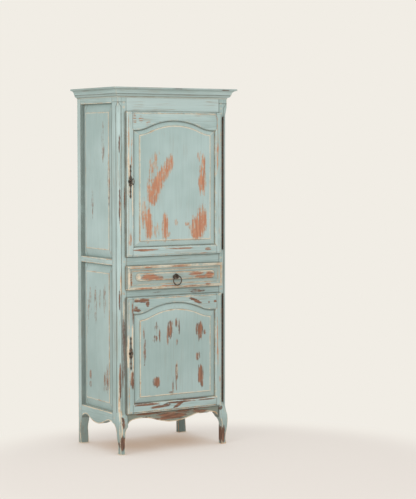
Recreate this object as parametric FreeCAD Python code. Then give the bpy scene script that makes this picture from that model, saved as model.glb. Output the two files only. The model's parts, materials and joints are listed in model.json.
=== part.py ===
import FreeCAD, Part
import math
import os
from FreeCAD import Vector

# A bonnetiere: a tall, narrow French cupboard with one arched door above a
# drawer and one arched door below it.  Millimetres, +X to the right, +Y to
# the back, +Z up.  The origin is on the floor, under the middle of the whole
# cupboard with its key and its ring pull.

# ------------------------------------------------------------------ the case
case_width = 665.0            # over the posts
case_depth = 440.0            # from the front face of the posts to the back
height = 1900.0               # floor to the top of the cornice

front_post_width = 50.0       # across the front
front_post_depth = 62.0       # along the side
rear_post_width = 48.0
rear_post_depth = 35.0
corner_round = 20.0           # quarter round on each front corner
corner_quirk = 1.6            # V groove on each side of that round
round_bottom = 205.0          # the round runs up from here
round_below_cornice = 81.0    # and ends this far below the cornice
upper_stop_length = 40.0      # pointed stop above the round
lower_stop_length = 52.0      # pointed stop below it, on the knee
stop_tip = 0.4                # radius left at a stop's point
# shares of the lower stop's length, of the round and of the knee's push
lower_stop_middle = (0.45, 0.72, 0.4)

rail_thickness = 24.0         # front rails
side_rail_thickness = 38.0
tenon_thickness = 12.0
tenon_length = 30.0
rear_tenon_length = 18.0      # the side rails' tenons into the rear posts
back_tenon_length = 16.0
tenon_shoulder = 6.0          # from a rail's face and edges to its tenon
peg_width = 5.5
front_peg_length = 42.0
side_peg_length = 31.0
peg_from_shoulder = 14.0      # peg centre to the post's inner edge
rear_peg_from_shoulder = 9.8

# what is seen on the front, from the floor up; the upper door takes the rest
lower_door_bottom = 211.0
lower_door_height = 606.0
lower_mid_rail_face = 40.0
drawer_height = 122.5
upper_mid_rail_face = 48.5
frieze_face = 71.0
cornice_height = 54.0
lip_cover = 7.5               # how far doors and drawer lap over their opening

# the same on the sides
side_apron_top = 212.0
side_mid_rail_face = 30.0
side_mid_rail_below_door = 15.0
side_top_rail_face = 26.0

# ------------------------------------------------------------------ the feet
knee_top = 209.0              # where the front foot leaves the straight post
foot_inner_inset = 34.5       # inner edge of the foot to the case's side
foot_back = 23.0              # back edge of the foot to the case's front
foot_straight = 104.0         # height of the foot's straight inner edges
front_arch_spring = 146.0     # where the front apron's edge meets the post
side_arch_spring = 161.0      # the same on the side, at the front post
rear_arch_spring = 149.0      # the same at the rear post
# where the hollow above the foot passes, as shares of its run and rise
front_hollow = (0.26, 0.56)
side_hollow = (0.29, 0.68)

# Each line below is a chain of arcs: middle and end point of the first arc,
# middle and end point of the second, and so on.
# (height, inset from the case's side, push beyond the case's front)
front_foot_line = (
    (182.0, 0.1, 6.6), (150.0, 0.2, 10.6),
    (128.0, -0.2, 11.5), (100.0, 0.9, 10.2),
    (85.0, 2.4, 8.7), (65.0, 5.2, 6.5),
    (36.0, 8.9, 4.4), (0.0, 7.4, 8.6),
)
# (height, distance from the case's back to the front edge of the rear foot)
rear_foot_line = (
    (136.0, 32.0), (115.0, 24.5),
    (92.0, 18.4), (68.0, 17.4),
    (38.0, 21.0), (0.0, 25.5),
)
# (distance from the middle, height) on the aprons' lower edges
front_lobe_foot = 148.5       # lowest point of the middle lobe
front_lobe_end = (84.0, 160.0)
front_crest_start = (115.0, 169.0)
# (distance from the post, height): the crest, its end, the middle of the corner
front_crest_line = ((92.5, 182.5), (35.5, 177.0), (12.5, 165.0))
side_lobe_foot = 134.5
side_lobe_end = (70.0, 150.0)
side_crest_start = (85.0, 156.5)
side_crest = (134.0, 168.0)

# --------------------------------------------------------------- side panels
panel_recess = 22.0           # margin of a side panel below the posts' face
side_field_recess = 6.0       # raised field below the posts' face
side_field_step = 2.0
side_bevel = 44.0
side_panel_reveal = 1.0       # flat margin between the post and the bevel
panel_tongue = 8.0            # thickness of every panel's tongue
groove_depth = 8.0
panel_float = 0.5             # room left at the bottom of a groove

# ------------------------------------------------------------------- cornice
# (projection, height above the cornice's bottom edge), from the bottom up
cornice_bead = (3.0, 4.0)
cornice_fillet = 4.5          # height of the fillet above the bead
ovolo_out = 1.5               # step from the fillet to the ovolo
ovolo_radius = 11.0
cornice_quirk = 2.5           # height of the dark quirk above the ovolo
cove_start_out = 3.5
cove_height = 23.0            # the fascia above it takes the rest
cove_out = 19.0
cove_radius = 22.0
fascia_out = 3.0
top_board_thickness = 16.0

# --------------------------------------------------------------------- doors
door_proud = 22.0             # face of a door in front of the case
lip_gap = 0.4                 # air between a closed lip and the case
rebate_depth = 10.0           # the part of a door inside its opening
rebate_gap = 1.5              # around that part
frame_face = 33.5             # flat face of the stiles
moulding_width = 7.0          # rounded moulding on the frame's inner edge
moulding_depth = 12.0
door_edge_round = 6.0
door_edge_inset = 9.0         # thumbnail moulding around the door
door_edge_step = 1.5
door_tenon_length = 21.0

arch_shoulder = 21.5          # level part between a stile and the arch
arch_rise = 50.0
hollow_radius = 177.25        # of the two hollows; the crown between them follows
shoulder_corner = 2.0         # width of the small curve into the shoulder
field_step = 3.0
field_step_run = 4.0
field_side_margin = 40.5      # frame edge to the raised field

upper_bottom_rail_face = 41.0
upper_shoulder_drop = 88.0    # top of the door to the arch's shoulders
upper_field_top_margin = 33.0
upper_field_bottom_margin = 39.0
lower_bottom_rail_face = 45.0
lower_shoulder_drop = 80.0
lower_field_top_margin = 42.0
lower_field_bottom_margin = 40.0

# -------------------------------------------------------------------- hinges
barrel_diameter = 14.0
barrel_side_count = 16        # the smith hammers the rolled barrel into flats
hinge_pin_diameter = 6.0
pin_clearance = 0.05          # radial, inside the door's knuckle
knuckle_gap = 0.4             # between one knuckle and the next
hinge_from_door = 13.0        # door edge to the hinge's axis
hinge_from_case = 8.5         # case face to the hinge's axis
leaf_thickness = 2.5
leaf_in_post = 22.0
leaf_in_door = 11.0
finial_radius = 6.5
finial_height = 17.0
# shares of the finial's radius and height: collar, waist, ball, tip
finial_line = (
    (1.0, 0.0), (1.0, 0.1), (0.65, 0.2), (0.95, 0.42), (1.0, 0.6), (0.6, 0.85), (0.15, 1.0),
)
long_knuckle = 56.0           # the frame's long knuckle
short_knuckle = 8.0           # the frame's short one at the other end
upper_hinge_below_top = 35.0  # top of the door to the upper hinge's knuckles
upper_hinge_above_foot = 34.0
lower_hinge_below_top = 20.0
lower_hinge_above_foot = 31.0

# -------------------------------------------------------------- locks and key
lock_inset = 19.0             # door edge to the middle of the keyhole
keyhole_above_middle = 15.0   # over the middle of each door
plate_thickness = 2.0
plate_tip = 88.0              # centre of the keyhole to the plate's end
# (half width, height over the keyhole) up one filed edge of the plate: a boss,
# a lobe, and a stem with a bulb and a leaf
plate_edge = (
    (12.5, 3.0), (10.0, 8.0), (6.0, 11.5), (9.2, 15.5), (8.6, 20.5), (4.6, 25.5), (2.6, 33.0),
    (2.6, 45.0), (5.4, 52.0), (2.4, 61.0), (2.4, 68.0), (5.2, 76.0), (1.6, 85.0),
)
keyhole_radius = 4.6
keyhole_side_count = 16       # its round is filed in small flats
keyhole_slot = 3.4
keyhole_drop = 11.0           # from the centre to the slot's foot
lock_height = 84.0
lock_width = 36.0
lock_thickness = 14.0
lock_wall = 1.5
lock_edge_gap = 0.5           # lock case to the edge of the door's rebate
bolt_height = 16.0
bolt_thickness = 7.0
bolt_throw = 9.0
bolt_clearance = 0.3
strike_room = 1.0             # room in the post beyond the thrown bolt
bolt_above_key = 9.0          # bolt's lower edge over the key's axis
key_projection = 38.0         # key in front of its plate
key_shank_diameter = 6.0
key_hole_clearance = 0.5
bow_height = 34.0
bow_depth = 26.0
bow_wire = 5.0
bow_side_count = 16
key_bit_length = 7.0
key_bit_width = 5.0
key_bit_thickness = 2.0

# -------------------------------------------------------------------- drawer
drawer_narrower = 1.0         # than the doors, at each end
drawer_proud = 28.0
drawer_round = 3.0
drawer_band = 12.0            # flat border of the drawer's front
drawer_band_step = 3.0
drawer_bevel = 12.0
drawer_bevel_drop = 4.0
drawer_quirk = 1.2
tablet_end = 49.0             # from the drawer's end to the tablet's
tablet_height = 39.0
tablet_raise = 4.0
tablet_chamfer = 1.5
drawer_front_inner = 14.0     # the front's part inside the opening
drawer_side_thickness = 12.0
drawer_back_thickness = 12.0
drawer_bottom_thickness = 7.0
drawer_length = 372.0         # from the case's front to the drawer's back
drawer_side_gap = 1.5         # drawer side to the post
drawer_run_gap = 0.3          # drawer side above its runner
drawer_head_gap = 2.0         # drawer side below its kicker
drawer_back_drop = 6.0        # drawer back below the sides' upper edge
drawer_groove_up = 10.0       # bottom's groove above the side's lower edge
drawer_groove = 6.0
dovetail_count = 3
dovetail_slope = 0.16
dovetail_root = 0.24          # half a tail's root, as a share of the pitch
dovetail_lap = 5.0            # wood left in front of the half-blind tails

# ----------------------------------------------------------------- ring pull
pull_above_middle = 3.5       # the tablet and its ring sit this far over the drawer's middle
ring_side_count = 8           # the forged ring's section has this many flats
ring_bends = 24               # and its round this many short straights
small_flats = 12              # flats round a turned finial, rosette or eye
ring_outer = 56.0
ring_wire = 7.0
ring_clearance = 0.3
pull_reach = 16.0             # pivot in front of the tablet
eye_radius = 8.5
eye_width = 10.0
rosette_radius = 13.0
rosette_thickness = 3.0
rosette_rim = 1.2             # height of its upright edge
pull_neck_radius = 5.0

# ------------------------------------------------------------------ interior
board_thickness = 18.0
shelf_gap = 0.5               # shelf to posts and side panels
cleat_height = 24.0
cleat_housing = 5.0           # how deep the cleats' ends go into the posts
upper_shelf_count = 2
lower_shelf_count = 1
shelf_setback = 66.0          # from the case's front
back_board_thickness = 12.0
back_board_lap = 12.0         # the boards' rebate in the rear posts
back_board_count = 4
back_board_gap = 0.4
back_boards_bottom = 190.0
back_bottom_rail_height = 60.0
back_top_rail_height = 94.0
runner_width = 38.0
runner_height = 22.0
guide_height = 20.0
guide_gap = 0.5               # guide to the drawer's side
beyond = 1.0                  # how far a saw or a cutter runs past the wood

# ---------------------------------------------------------- what follows
key_reach = door_proud + plate_thickness + key_projection
total_depth = case_depth + key_reach
back = total_depth / 2
front = back - case_depth
side = case_width / 2
front_post_inner = side - front_post_width
rear_post_inner = side - rear_post_width
front_post_back = front + front_post_depth
rear_post_front = back - rear_post_depth
opening = front_post_inner
case_top = height - top_board_thickness
cornice_bottom = height - cornice_height
round_top = cornice_bottom - round_below_cornice
middle_y = (front_post_back + rear_post_front) / 2

lower_door_top = lower_door_bottom + lower_door_height
drawer_foot = lower_door_top + lower_mid_rail_face
drawer_top = drawer_foot + drawer_height
upper_door_bottom = drawer_top + upper_mid_rail_face
upper_door_top = cornice_bottom - frieze_face
drawer_middle = (drawer_foot + drawer_top) / 2
pull_height = drawer_middle + pull_above_middle

upper_opening = (upper_door_bottom + lip_cover, upper_door_top - lip_cover)
drawer_opening = (drawer_foot + lip_cover, drawer_top - lip_cover)
lower_opening = (lower_door_bottom + lip_cover, lower_door_top - lip_cover)
side_mid_rail_top = upper_door_bottom - side_mid_rail_below_door
side_mid_rail_bottom = side_mid_rail_top - side_mid_rail_face
side_top_rail_bottom = cornice_bottom - side_top_rail_face

door_half_width = opening + lip_cover
arch_half_span = door_half_width - frame_face - arch_shoulder
hinge_x = door_half_width + hinge_from_door
hinge_y = front - hinge_from_case
door_face = front - door_proud
drawer_half_width = door_half_width - drawer_narrower
tablet_half_length = drawer_half_width - tablet_end
keyhole_x = -(door_half_width - lock_inset)
panel_inner = side - panel_recess - panel_tongue
rail_inner = side - side_rail_thickness


# ------------------------------------------------------------- small helpers
def box(x0, x1, y0, y1, z0, z1):
    """A block between six planes."""
    return Part.makeBox(x1 - x0, y1 - y0, z1 - z0, Vector(x0, y0, z0))


def mirrored(shape):
    """The same piece on the other side of the middle plane."""
    return shape.mirror(Vector(0, 0, 0), Vector(1, 0, 0))


def join(pieces):
    """One solid from pieces that touch or overlap."""
    return pieces[0].fuse(list(pieces[1:])).removeSplitter()


def on_front(u, v, depth):
    return Vector(u, depth, v)


def on_side(u, v, across):
    return Vector(across, u, v)


def on_plan(u, v, level):
    return Vector(u, v, level)


def outline(place, offset, start, *steps):
    """A closed wire of lines and of arcs (each a middle and an end point)."""
    edges = []
    here = start
    for kind, *points in steps:
        spots = [place(u, v, offset) for u, v in [here] + points]
        if kind == "lines":
            edges += [Part.makeLine(a, b) for a, b in zip(spots, spots[1:])]
        else:
            edges += [Part.Arc(*spots[i:i + 3]).toShape() for i in range(0, len(spots) - 2, 2)]
        here = points[-1]
    return Part.Wire(edges)


def prism(wire, along):
    return Part.Face(wire).extrude(along)


def rectangle(place, offset, u0, u1, v0, v1):
    return outline(place, offset, (u0, v0), ("lines", (u1, v0), (u1, v1), (u0, v1), (u0, v0)))


def corners(wire):
    return [v.Point for v in wire.OrderedVertexes]


def many_sided(centre, radius, sides, u, v, turn=0.5):
    """Corners of a regular polygon round a centre, in the plane of u and v."""
    points = []
    for index in range(sides):
        angle = 2 * math.pi * (index + turn) / sides
        points.append(centre + u * (radius * math.cos(angle)) + v * (radius * math.sin(angle)))
    return points


def skin(rings, capped=True):
    """A solid with flat sides through rings of as many corners each."""
    faces = []
    for near, far in zip(rings, rings[1:]):
        for a, b, c, d in zip(near, near[1:] + near[:1], far[1:] + far[:1], far):
            faces.append(Part.Face(Part.makePolygon([a, b, c, d, a])))
    if capped:
        faces += [Part.Face(Part.makePolygon(ring + ring[:1])) for ring in (rings[0], rings[-1])]
    solid = Part.Solid(Part.Shell(faces))
    if solid.Volume < 0:
        solid.reverse()
    return solid


def eased_slab(half, z0, z1, near, far, radius):
    """A board facing the front, its front edges rounded off by two flats."""
    eased = radius * (1 - math.sqrt(0.5))
    levels = ((far, 0.0), (near + radius, 0.0), (near + eased, eased), (near, radius))
    return skin([corners(rectangle(on_front, y, -half + inset, half - inset, z0 + inset, z1 - inset))
                 for y, inset in levels])


def turned(line, centre, along, sides):
    """A lathe shape with many flats: (radius, distance along) from end to end."""
    u = Vector(along.z, along.x, along.y)
    v = along.cross(u)
    return skin([many_sided(centre + along * far, radius, sides, u, v) for radius, far in line])


def cylinder_y(radius, y0, y1, x, z):
    return Part.makeCylinder(radius, y1 - y0, Vector(x, y0, z), Vector(0, 1, 0))


def cylinder_z(radius, z0, z1, x, y):
    return Part.makeCylinder(radius, z1 - z0, Vector(x, y, z0))


def front_edges(shape, depth):
    """The edges that lie in one plane across the cupboard."""
    return [e for e in shape.Edges if abs(e.BoundBox.YMin - depth) < 1e-4
            and abs(e.BoundBox.YMax - depth) < 1e-4]


# ------------------------------------------------------------ posts and feet
def front_post_blank():
    """Left front post: a front view and a side view, sawn through each other."""
    outer = [(-side + inset, z) for z, inset, push in front_foot_line]
    inner = -side + foot_inner_inset
    run, rise = -front_post_inner - inner, front_arch_spring - foot_straight
    front_bend = (inner + front_hollow[0] * run, foot_straight + front_hollow[1] * rise)
    front_view = outline(
        on_front, front - front_post_depth, (-side, case_top),
        ("lines", (-side, knee_top)),
        ("arcs", *outer),
        ("lines", (inner, 0.0), (inner, foot_straight)),
        ("arcs", front_bend, (-front_post_inner, front_arch_spring)),
        ("lines", (-front_post_inner, case_top), (-side, case_top)),
    )
    push_line = [(front - push, z) for z, inset, push in front_foot_line]
    heel = front + foot_back
    run, rise = front_post_back - heel, side_arch_spring - foot_straight
    side_bend = (heel + side_hollow[0] * run, foot_straight + side_hollow[1] * rise)
    side_view = outline(
        on_side, -side - front_post_width, (front, case_top),
        ("lines", (front, knee_top)),
        ("arcs", *push_line),
        ("lines", (heel, 0.0), (heel, foot_straight)),
        ("arcs", side_bend, (front_post_back, side_arch_spring)),
        ("lines", (front_post_back, case_top), (front, case_top)),
    )
    seen_from_front = prism(front_view, Vector(0, 2 * front_post_depth, 0))
    seen_from_side = prism(side_view, Vector(3 * front_post_width, 0, 0))
    return seen_from_front.common(seen_from_side)


def corner_section(level, radius, shift):
    """What a quarter round of this radius takes off a square corner."""
    x = -side
    y = front - shift
    reach = 4 * beyond
    mid = radius * (1 - math.sqrt(0.5))
    return outline(
        on_plan, level, (x - reach, y - reach),
        ("lines", (x + radius, y - reach), (x + radius, y)),
        ("arcs", (x + mid, y + mid), (x, y + radius)),
        ("lines", (x - reach, y + radius), (x - reach, y - reach)),
    )


def corner_cutter():
    """The quarter round with its pointed stops and its two quirks."""
    round_part = prism(corner_section(round_bottom, corner_round, 0.0),
                       Vector(0, 0, round_top - round_bottom))
    upper_stop = Part.makeLoft([
        corner_section(round_top, corner_round, 0.0),
        corner_section(round_top + upper_stop_length, stop_tip, 0.0)], True, True)
    knee_push = front_foot_line[1][2]
    down, narrower, forward = lower_stop_middle
    lower_stop = Part.makeLoft([
        corner_section(round_bottom, corner_round, 0.0),
        corner_section(round_bottom - lower_stop_length * down, corner_round * narrower,
                       knee_push * forward),
        corner_section(round_bottom - lower_stop_length, stop_tip, knee_push - stop_tip)], True, True)
    cutter = join([round_part, upper_stop, lower_stop])
    for turn in (0, 1):
        x = -side + (corner_round if turn == 0 else 0.0)
        y = front + (0.0 if turn == 0 else corner_round)
        quirk = Part.makeBox(corner_quirk * math.sqrt(2), corner_quirk * math.sqrt(2),
                             round_top - round_bottom)
        quirk.rotate(Vector(0, 0, 0), Vector(0, 0, 1), 45)
        quirk.translate(Vector(x, y - corner_quirk, round_bottom))
        cutter = cutter.fuse(quirk)
    return cutter


def rear_post_blank():
    line = [(back - reach, z) for z, reach in rear_foot_line]
    side_view = outline(
        on_side, -side, (rear_post_front, case_top),
        ("lines", (rear_post_front, rear_arch_spring)),
        ("arcs", *line),
        ("lines", (back, 0.0), (back, case_top), (rear_post_front, case_top)),
    )
    post = prism(side_view, Vector(rear_post_width, 0, 0))
    rebate = box(-rear_post_inner - back_board_lap, -rear_post_inner, back - back_board_thickness, back,
                 back_boards_bottom, case_top)
    return post.cut(rebate)


def panel_groove(y0, y1, z0, z1):
    """Room for a side panel's tongue, on the left, grown past its sight edges."""
    face = -side + panel_recess
    return box(face, face + panel_tongue, y0 - groove_depth, y1 + groove_depth,
               z0 - groove_depth, z1 + groove_depth)


side_openings = (
    (side_mid_rail_top, side_top_rail_bottom),
    (side_apron_top, side_mid_rail_bottom),
)


# --------------------------------------------------------------------- rails
def front_rail(z0, z1):
    """A straight rail between the front posts, with a tenon at each end."""
    body = box(-front_post_inner, front_post_inner, front, front + rail_thickness, z0, z1)
    tenons = box(-front_post_inner - tenon_length, front_post_inner + tenon_length,
                 front + tenon_shoulder, front + tenon_shoulder + tenon_thickness,
                 z0 + tenon_shoulder, z1 - tenon_shoulder)
    return join([body, tenons])


def mirror_points(points, centre):
    """Points of an edge, reflected about a centre line and reversed."""
    return [(2 * centre - u, v) for u, v in reversed(points)]


def front_apron_piece():
    top = lower_opening[0]
    crest = [front_crest_start] + [(front_post_inner - inset, z) for inset, z in front_crest_line]
    crest.append((front_post_inner, front_arch_spring))
    mirrored_crest = mirror_points(crest, 0.0)
    view = outline(
        on_front, front, (-front_post_inner, top),
        ("lines", mirrored_crest[0]),
        ("arcs", *mirrored_crest[1:]),
        ("lines", (-front_lobe_end[0], front_lobe_end[1])),
        ("arcs", (0.0, front_lobe_foot), front_lobe_end),
        ("lines", front_crest_start),
        ("arcs", *crest[1:]),
        ("lines", (front_post_inner, top), (-front_post_inner, top)),
    )
    body = prism(view, Vector(0, rail_thickness, 0))
    tenon_foot = front_arch_spring + 3 * tenon_shoulder
    tenons = box(-front_post_inner - tenon_length, front_post_inner + tenon_length,
                 front + tenon_shoulder, front + tenon_shoulder + tenon_thickness,
                 tenon_foot, top - tenon_shoulder)
    window = box(-front_post_inner + beyond, front_post_inner - beyond, front, back,
                 0, tenon_foot + rail_thickness)
    return join([body, tenons.cut(window)])


def side_rail(z0, z1):
    """A left rail between front and rear post, grooved for the panels."""
    body = box(-side, -side + side_rail_thickness, front_post_back, rear_post_front, z0, z1)
    return join([body, side_tenons(z0 + tenon_shoulder, z1 - tenon_shoulder)])


def side_tenons(z0, z1):
    inner = -side + panel_recess + panel_tongue
    return box(inner - tenon_thickness, inner, front_post_back - tenon_length,
               rear_post_front + rear_tenon_length, z0, z1)


def side_apron_piece():
    """The left apron; its wave leans on the front post and on the rear foot."""
    rear = [(middle_y + u, z) for u, z in (side_lobe_end, side_crest_start, side_crest)]
    fore = mirror_points(rear, middle_y)
    view = outline(
        on_side, -side, (front_post_back, side_apron_top),
        ("lines", (front_post_back, side_arch_spring)),
        ("arcs", fore[0], fore[1]),
        ("lines", fore[2]),
        ("arcs", (middle_y, side_lobe_foot), rear[0]),
        ("lines", rear[1]),
        ("arcs", rear[2], (rear_post_front, rear_arch_spring)),
        ("lines", (rear_post_front, side_apron_top), (front_post_back, side_apron_top)),
    )
    body = prism(view, Vector(side_rail_thickness, 0, 0))
    tenon_foot = side_arch_spring + 2 * tenon_shoulder
    return join([body, side_tenons(tenon_foot, side_apron_top - 2 * tenon_shoulder)])


def side_panel(z0, z1):
    """A left panel: tongue, bevelled margin and raised field."""
    face = -side + panel_recess
    y0, y1 = front_post_back, rear_post_front
    grow = groove_depth - panel_float
    plate = box(face, face + panel_tongue, y0 - grow, y1 + grow, z0 - grow, z1 + grow)
    low = side_panel_reveal
    high = side_bevel
    step_face = -side + side_field_recess + side_field_step
    bevel = skin([
        corners(rectangle(on_side, face, y0 + low, y1 - low, z0 + low, z1 - low)),
        corners(rectangle(on_side, step_face, y0 + high, y1 - high, z0 + high, z1 - high))])
    inset = high + side_field_step
    field = box(-side + side_field_recess, step_face, y0 + inset, y1 - inset, z0 + inset, z1 - inset)
    return join([plate, bevel, field])


# ------------------------------------------------------------------- cornice
def cornice_profile(place, offset):
    """The moulding's section: projection from the case, level."""
    base = cornice_bottom
    bead_out, bead_up = cornice_bead
    ovolo_base = base + bead_up + cornice_fillet
    ovolo_start = bead_out + ovolo_out
    ovolo_end = (ovolo_start + ovolo_radius, ovolo_base + ovolo_radius)
    slant = ovolo_radius * math.sqrt(0.5)
    cove_start = (ovolo_end[0] + cove_start_out, ovolo_end[1] + cornice_quirk)
    cove_end = (cove_start[0] + cove_out, cove_start[1] + cove_height)
    chord = math.hypot(cove_out, cove_height)
    sag = cove_radius - math.sqrt(cove_radius ** 2 - chord ** 2 / 4)
    cove_mid = ((cove_start[0] + cove_end[0]) / 2 - sag * cove_height / chord,
                (cove_start[1] + cove_end[1]) / 2 + sag * cove_out / chord)
    fascia = cove_end[0] + fascia_out
    return outline(
        place, offset, (0.0, base),
        ("lines", (bead_out, base + bead_up), (bead_out, ovolo_base), (ovolo_start, ovolo_base)),
        ("arcs", (ovolo_start + slant, ovolo_end[1] - slant), ovolo_end),
        ("lines", (ovolo_end[0], cove_start[1]), cove_start),
        ("arcs", cove_mid, cove_end),
        ("lines", (fascia, cove_end[1]), (fascia, height), (0.0, height), (0.0, base)),
    )


cornice_out = (cornice_bead[0] + ovolo_out + ovolo_radius + cove_start_out + cove_out + fascia_out)


def cornice_run(length):
    """A straight run of moulding along +X, standing out towards -Y."""
    def place(out, level, along):
        return Vector(along, -out, level)
    return prism(cornice_profile(place, 0.0), Vector(length, 0, 0))


def cornice_front_piece():
    run = cornice_run(2 * (side + cornice_out))
    run.translate(Vector(-side - cornice_out, front, 0))
    reach = cornice_out + beyond
    plan = outline(on_plan, cornice_bottom - beyond, (-side, front),
                   ("lines", (-side - reach, front - reach), (side + reach, front - reach),
                    (side, front), (-side, front)))
    return run.common(prism(plan, Vector(0, 0, height)))


def cornice_left_piece():
    run = cornice_run(case_depth + cornice_out)
    run.rotate(Vector(0, 0, 0), Vector(0, 0, 1), -90)
    run.translate(Vector(-side, back, 0))
    reach = cornice_out + beyond
    plan = outline(on_plan, cornice_bottom - beyond, (-side, front),
                   ("lines", (-side, back), (-side - reach, back),
                    (-side - reach, front - reach), (-side, front)))
    return run.common(prism(plan, Vector(0, 0, height)))


# --------------------------------------------------------------------- doors
def arch_outline(depth, half, bottom, shoulder, drop):
    """A door's opening: straight sides and a crown between two hollow shoulders.

    The arcs keep their centres and change their radii by the drop, so every
    line of a door's moulding and panel is parallel to the next one.
    """
    reach = (arch_half_span ** 2 + arch_rise ** 2) / (2 * arch_rise)
    crown_radius = reach - hollow_radius
    hollow = hollow_radius + drop
    crown = crown_radius - drop
    hollow_centre = shoulder + hollow_radius
    crown_centre = shoulder + arch_rise - crown_radius
    lean = math.asin(arch_half_span / reach)
    turn = (crown * math.sin(lean), crown_centre + crown * math.cos(lean))

    def on_hollow(u):
        return (u, hollow_centre - math.sqrt(hollow ** 2 - (arch_half_span - u) ** 2))

    if half > arch_half_span:
        start = (half, shoulder - drop)
        spring = (arch_half_span, shoulder - drop)
        first = ("lines", spring)
        last = ("lines", (-half, start[1]))
    else:
        start = on_hollow(half)
        spring = on_hollow(half - shoulder_corner)
        between = on_hollow(half - shoulder_corner / 2)
        first = ("arcs", between, spring)
        last = ("arcs", (-between[0], between[1]), (-half, start[1]))
    halfway = on_hollow((spring[0] + turn[0]) / 2)
    return outline(
        on_front, depth, (-half, bottom),
        ("lines", (half, bottom), start),
        first,
        ("arcs", halfway, turn),
        ("arcs", (0.0, crown_centre + crown), (-turn[0], turn[1])),
        ("arcs", (-halfway[0], halfway[1]), (-spring[0], spring[1])),
        last,
        ("lines", (-half, bottom)),
    )


class Door:
    """The sizes that one door's pieces share."""

    def __init__(self, bottom, top, bottom_rail, shoulder_drop, field_top, field_bottom):
        self.bottom = bottom
        self.top = top
        self.sill = bottom + bottom_rail
        self.shoulder = top - shoulder_drop
        self.field_top = field_top
        self.field_bottom = field_bottom
        self.keyhole = (bottom + top) / 2 + keyhole_above_middle
        self.half = door_half_width - frame_face

    def opening_line(self, depth, inset):
        return arch_outline(depth, self.half - inset, self.sill + inset, self.shoulder, inset)


upper = Door(upper_door_bottom, upper_door_top, upper_bottom_rail_face, upper_shoulder_drop,
             upper_field_top_margin, upper_field_bottom_margin)
lower = Door(lower_door_bottom, lower_door_top, lower_bottom_rail_face, lower_shoulder_drop,
             lower_field_top_margin, lower_field_bottom_margin)

groove_front = door_face + moulding_depth
groove_back = groove_front + panel_tongue
door_back = front + rebate_depth
rebate_inset = door_half_width - opening + rebate_gap


def door_frame(door):
    """Stiles and rails as one ring, before they are parted at their joints."""
    half = door_half_width
    lip = eased_slab(half, door.bottom, door.top, door_face + door_edge_step, front - lip_gap,
                     door_edge_round)
    inset = door_edge_inset
    face = box(-half + inset, half - inset, door_face, front - lip_gap,
               door.bottom + inset, door.top - inset)
    inset = rebate_inset
    tongue = box(-half + inset, half - inset, front - lip_gap, door_back,
                 door.bottom + inset, door.top - inset)
    ring = join([lip, face, tongue])
    through = door_back - door_face + 2 * beyond
    sight = prism(door.opening_line(door_face - beyond, moulding_width), Vector(0, through, 0))
    eased = moulding_width * (1 - math.sqrt(0.5))
    moulding = Part.makeLoft([
        door.opening_line(door_face, 0.0),
        door.opening_line(door_face + eased, moulding_width - eased),
        door.opening_line(door_face + moulding_width, moulding_width)], True, True)
    ring = ring.cut([sight, moulding])
    groove = prism(door.opening_line(groove_front, moulding_width - groove_depth),
                   Vector(0, panel_tongue, 0))
    return ring.cut(groove)


def stile_zone(door):
    """The left stile's share of the ring, mitred across the inner moulding."""
    edge = -door_half_width
    joint = -door.half
    sight = joint + moulding_width
    outside, below, above = edge - beyond, door.bottom - beyond, door.top + beyond
    view = outline(
        on_front, door_face - beyond, (outside, below),
        ("lines", (joint, below), (joint, door.sill), (sight, door.sill + moulding_width),
         (sight, door.shoulder - moulding_width), (joint, door.shoulder), (joint, above),
         (outside, above), (outside, below)),
    )
    return prism(view, Vector(0, door_back - door_face + 2 * beyond, 0))


def door_tenons(door, z0, z1):
    half = door.half + door_tenon_length
    tenon = box(-half, half, groove_front, groove_back, z0 + tenon_shoulder, z1 - tenon_shoulder)
    middle = box(-door.half, door.half, door_face, back, z0, z1)
    return tenon.cut(middle)


def door_pieces(door):
    """Two stiles and two rails, parted and tenoned."""
    ring = door_frame(door)
    left_zone = stile_zone(door)
    right_zone = mirrored(left_zone)
    split = (door.sill + door.shoulder) / 2
    rails = ring.cut([left_zone, right_zone])
    high = box(-side, side, door_face - beyond, back, split, height)
    top_tenons = door_tenons(door, door.shoulder, door.top - rebate_inset)
    bottom_tenons = door_tenons(door, door.bottom + rebate_inset, door.sill)
    top_rail = join([rails.common(high), top_tenons])
    bottom_rail = join([rails.cut(high), bottom_tenons])
    lock_stile = ring.common(left_zone).cut([top_tenons, bottom_tenons])
    hinge_stile = ring.common(right_zone).cut([top_tenons, bottom_tenons])
    return lock_stile, hinge_stile, top_rail, bottom_rail


def door_panel(door):
    """A raised and fielded panel with an arched head."""
    plate = prism(door.opening_line(groove_front, moulding_width - groove_depth + panel_float),
                  Vector(0, panel_tongue, 0))
    margin = field_side_margin - field_step_run
    sides = door.half - margin
    top = door.field_top - field_step_run
    low = door.sill + door.field_bottom - field_step_run
    step = door_face + field_step
    bevel = Part.makeLoft([
        door.opening_line(groove_front, moulding_width + lip_gap),
        arch_outline(step, sides, low, door.shoulder, top)], True, True)
    field = arch_outline(step, door.half - field_side_margin, door.sill + door.field_bottom,
                         door.shoulder, door.field_top)
    return join([plate, bevel, prism(field, Vector(0, -field_step, 0))])


# -------------------------------------------------------------------- hinges
def barrel(z0, z1):
    radius = barrel_diameter / 2
    return turned(((radius, 0.0), (radius, z1 - z0)), Vector(hinge_x, hinge_y, z0), Vector(0, 0, 1),
                  barrel_side_count)


def finial(z, upwards):
    """A turned end: a collar, a waist, a ball and a tip, filed with many flats."""
    spots = [(out * finial_radius, up * finial_height) for out, up in finial_line]
    return turned(spots, Vector(hinge_x, hinge_y, z), Vector(0, 0, upwards), small_flats)


def post_leaf(z0, z1):
    return box(hinge_x - leaf_thickness / 2, hinge_x + leaf_thickness / 2,
               hinge_y, front + leaf_in_post, z0, z1)


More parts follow.
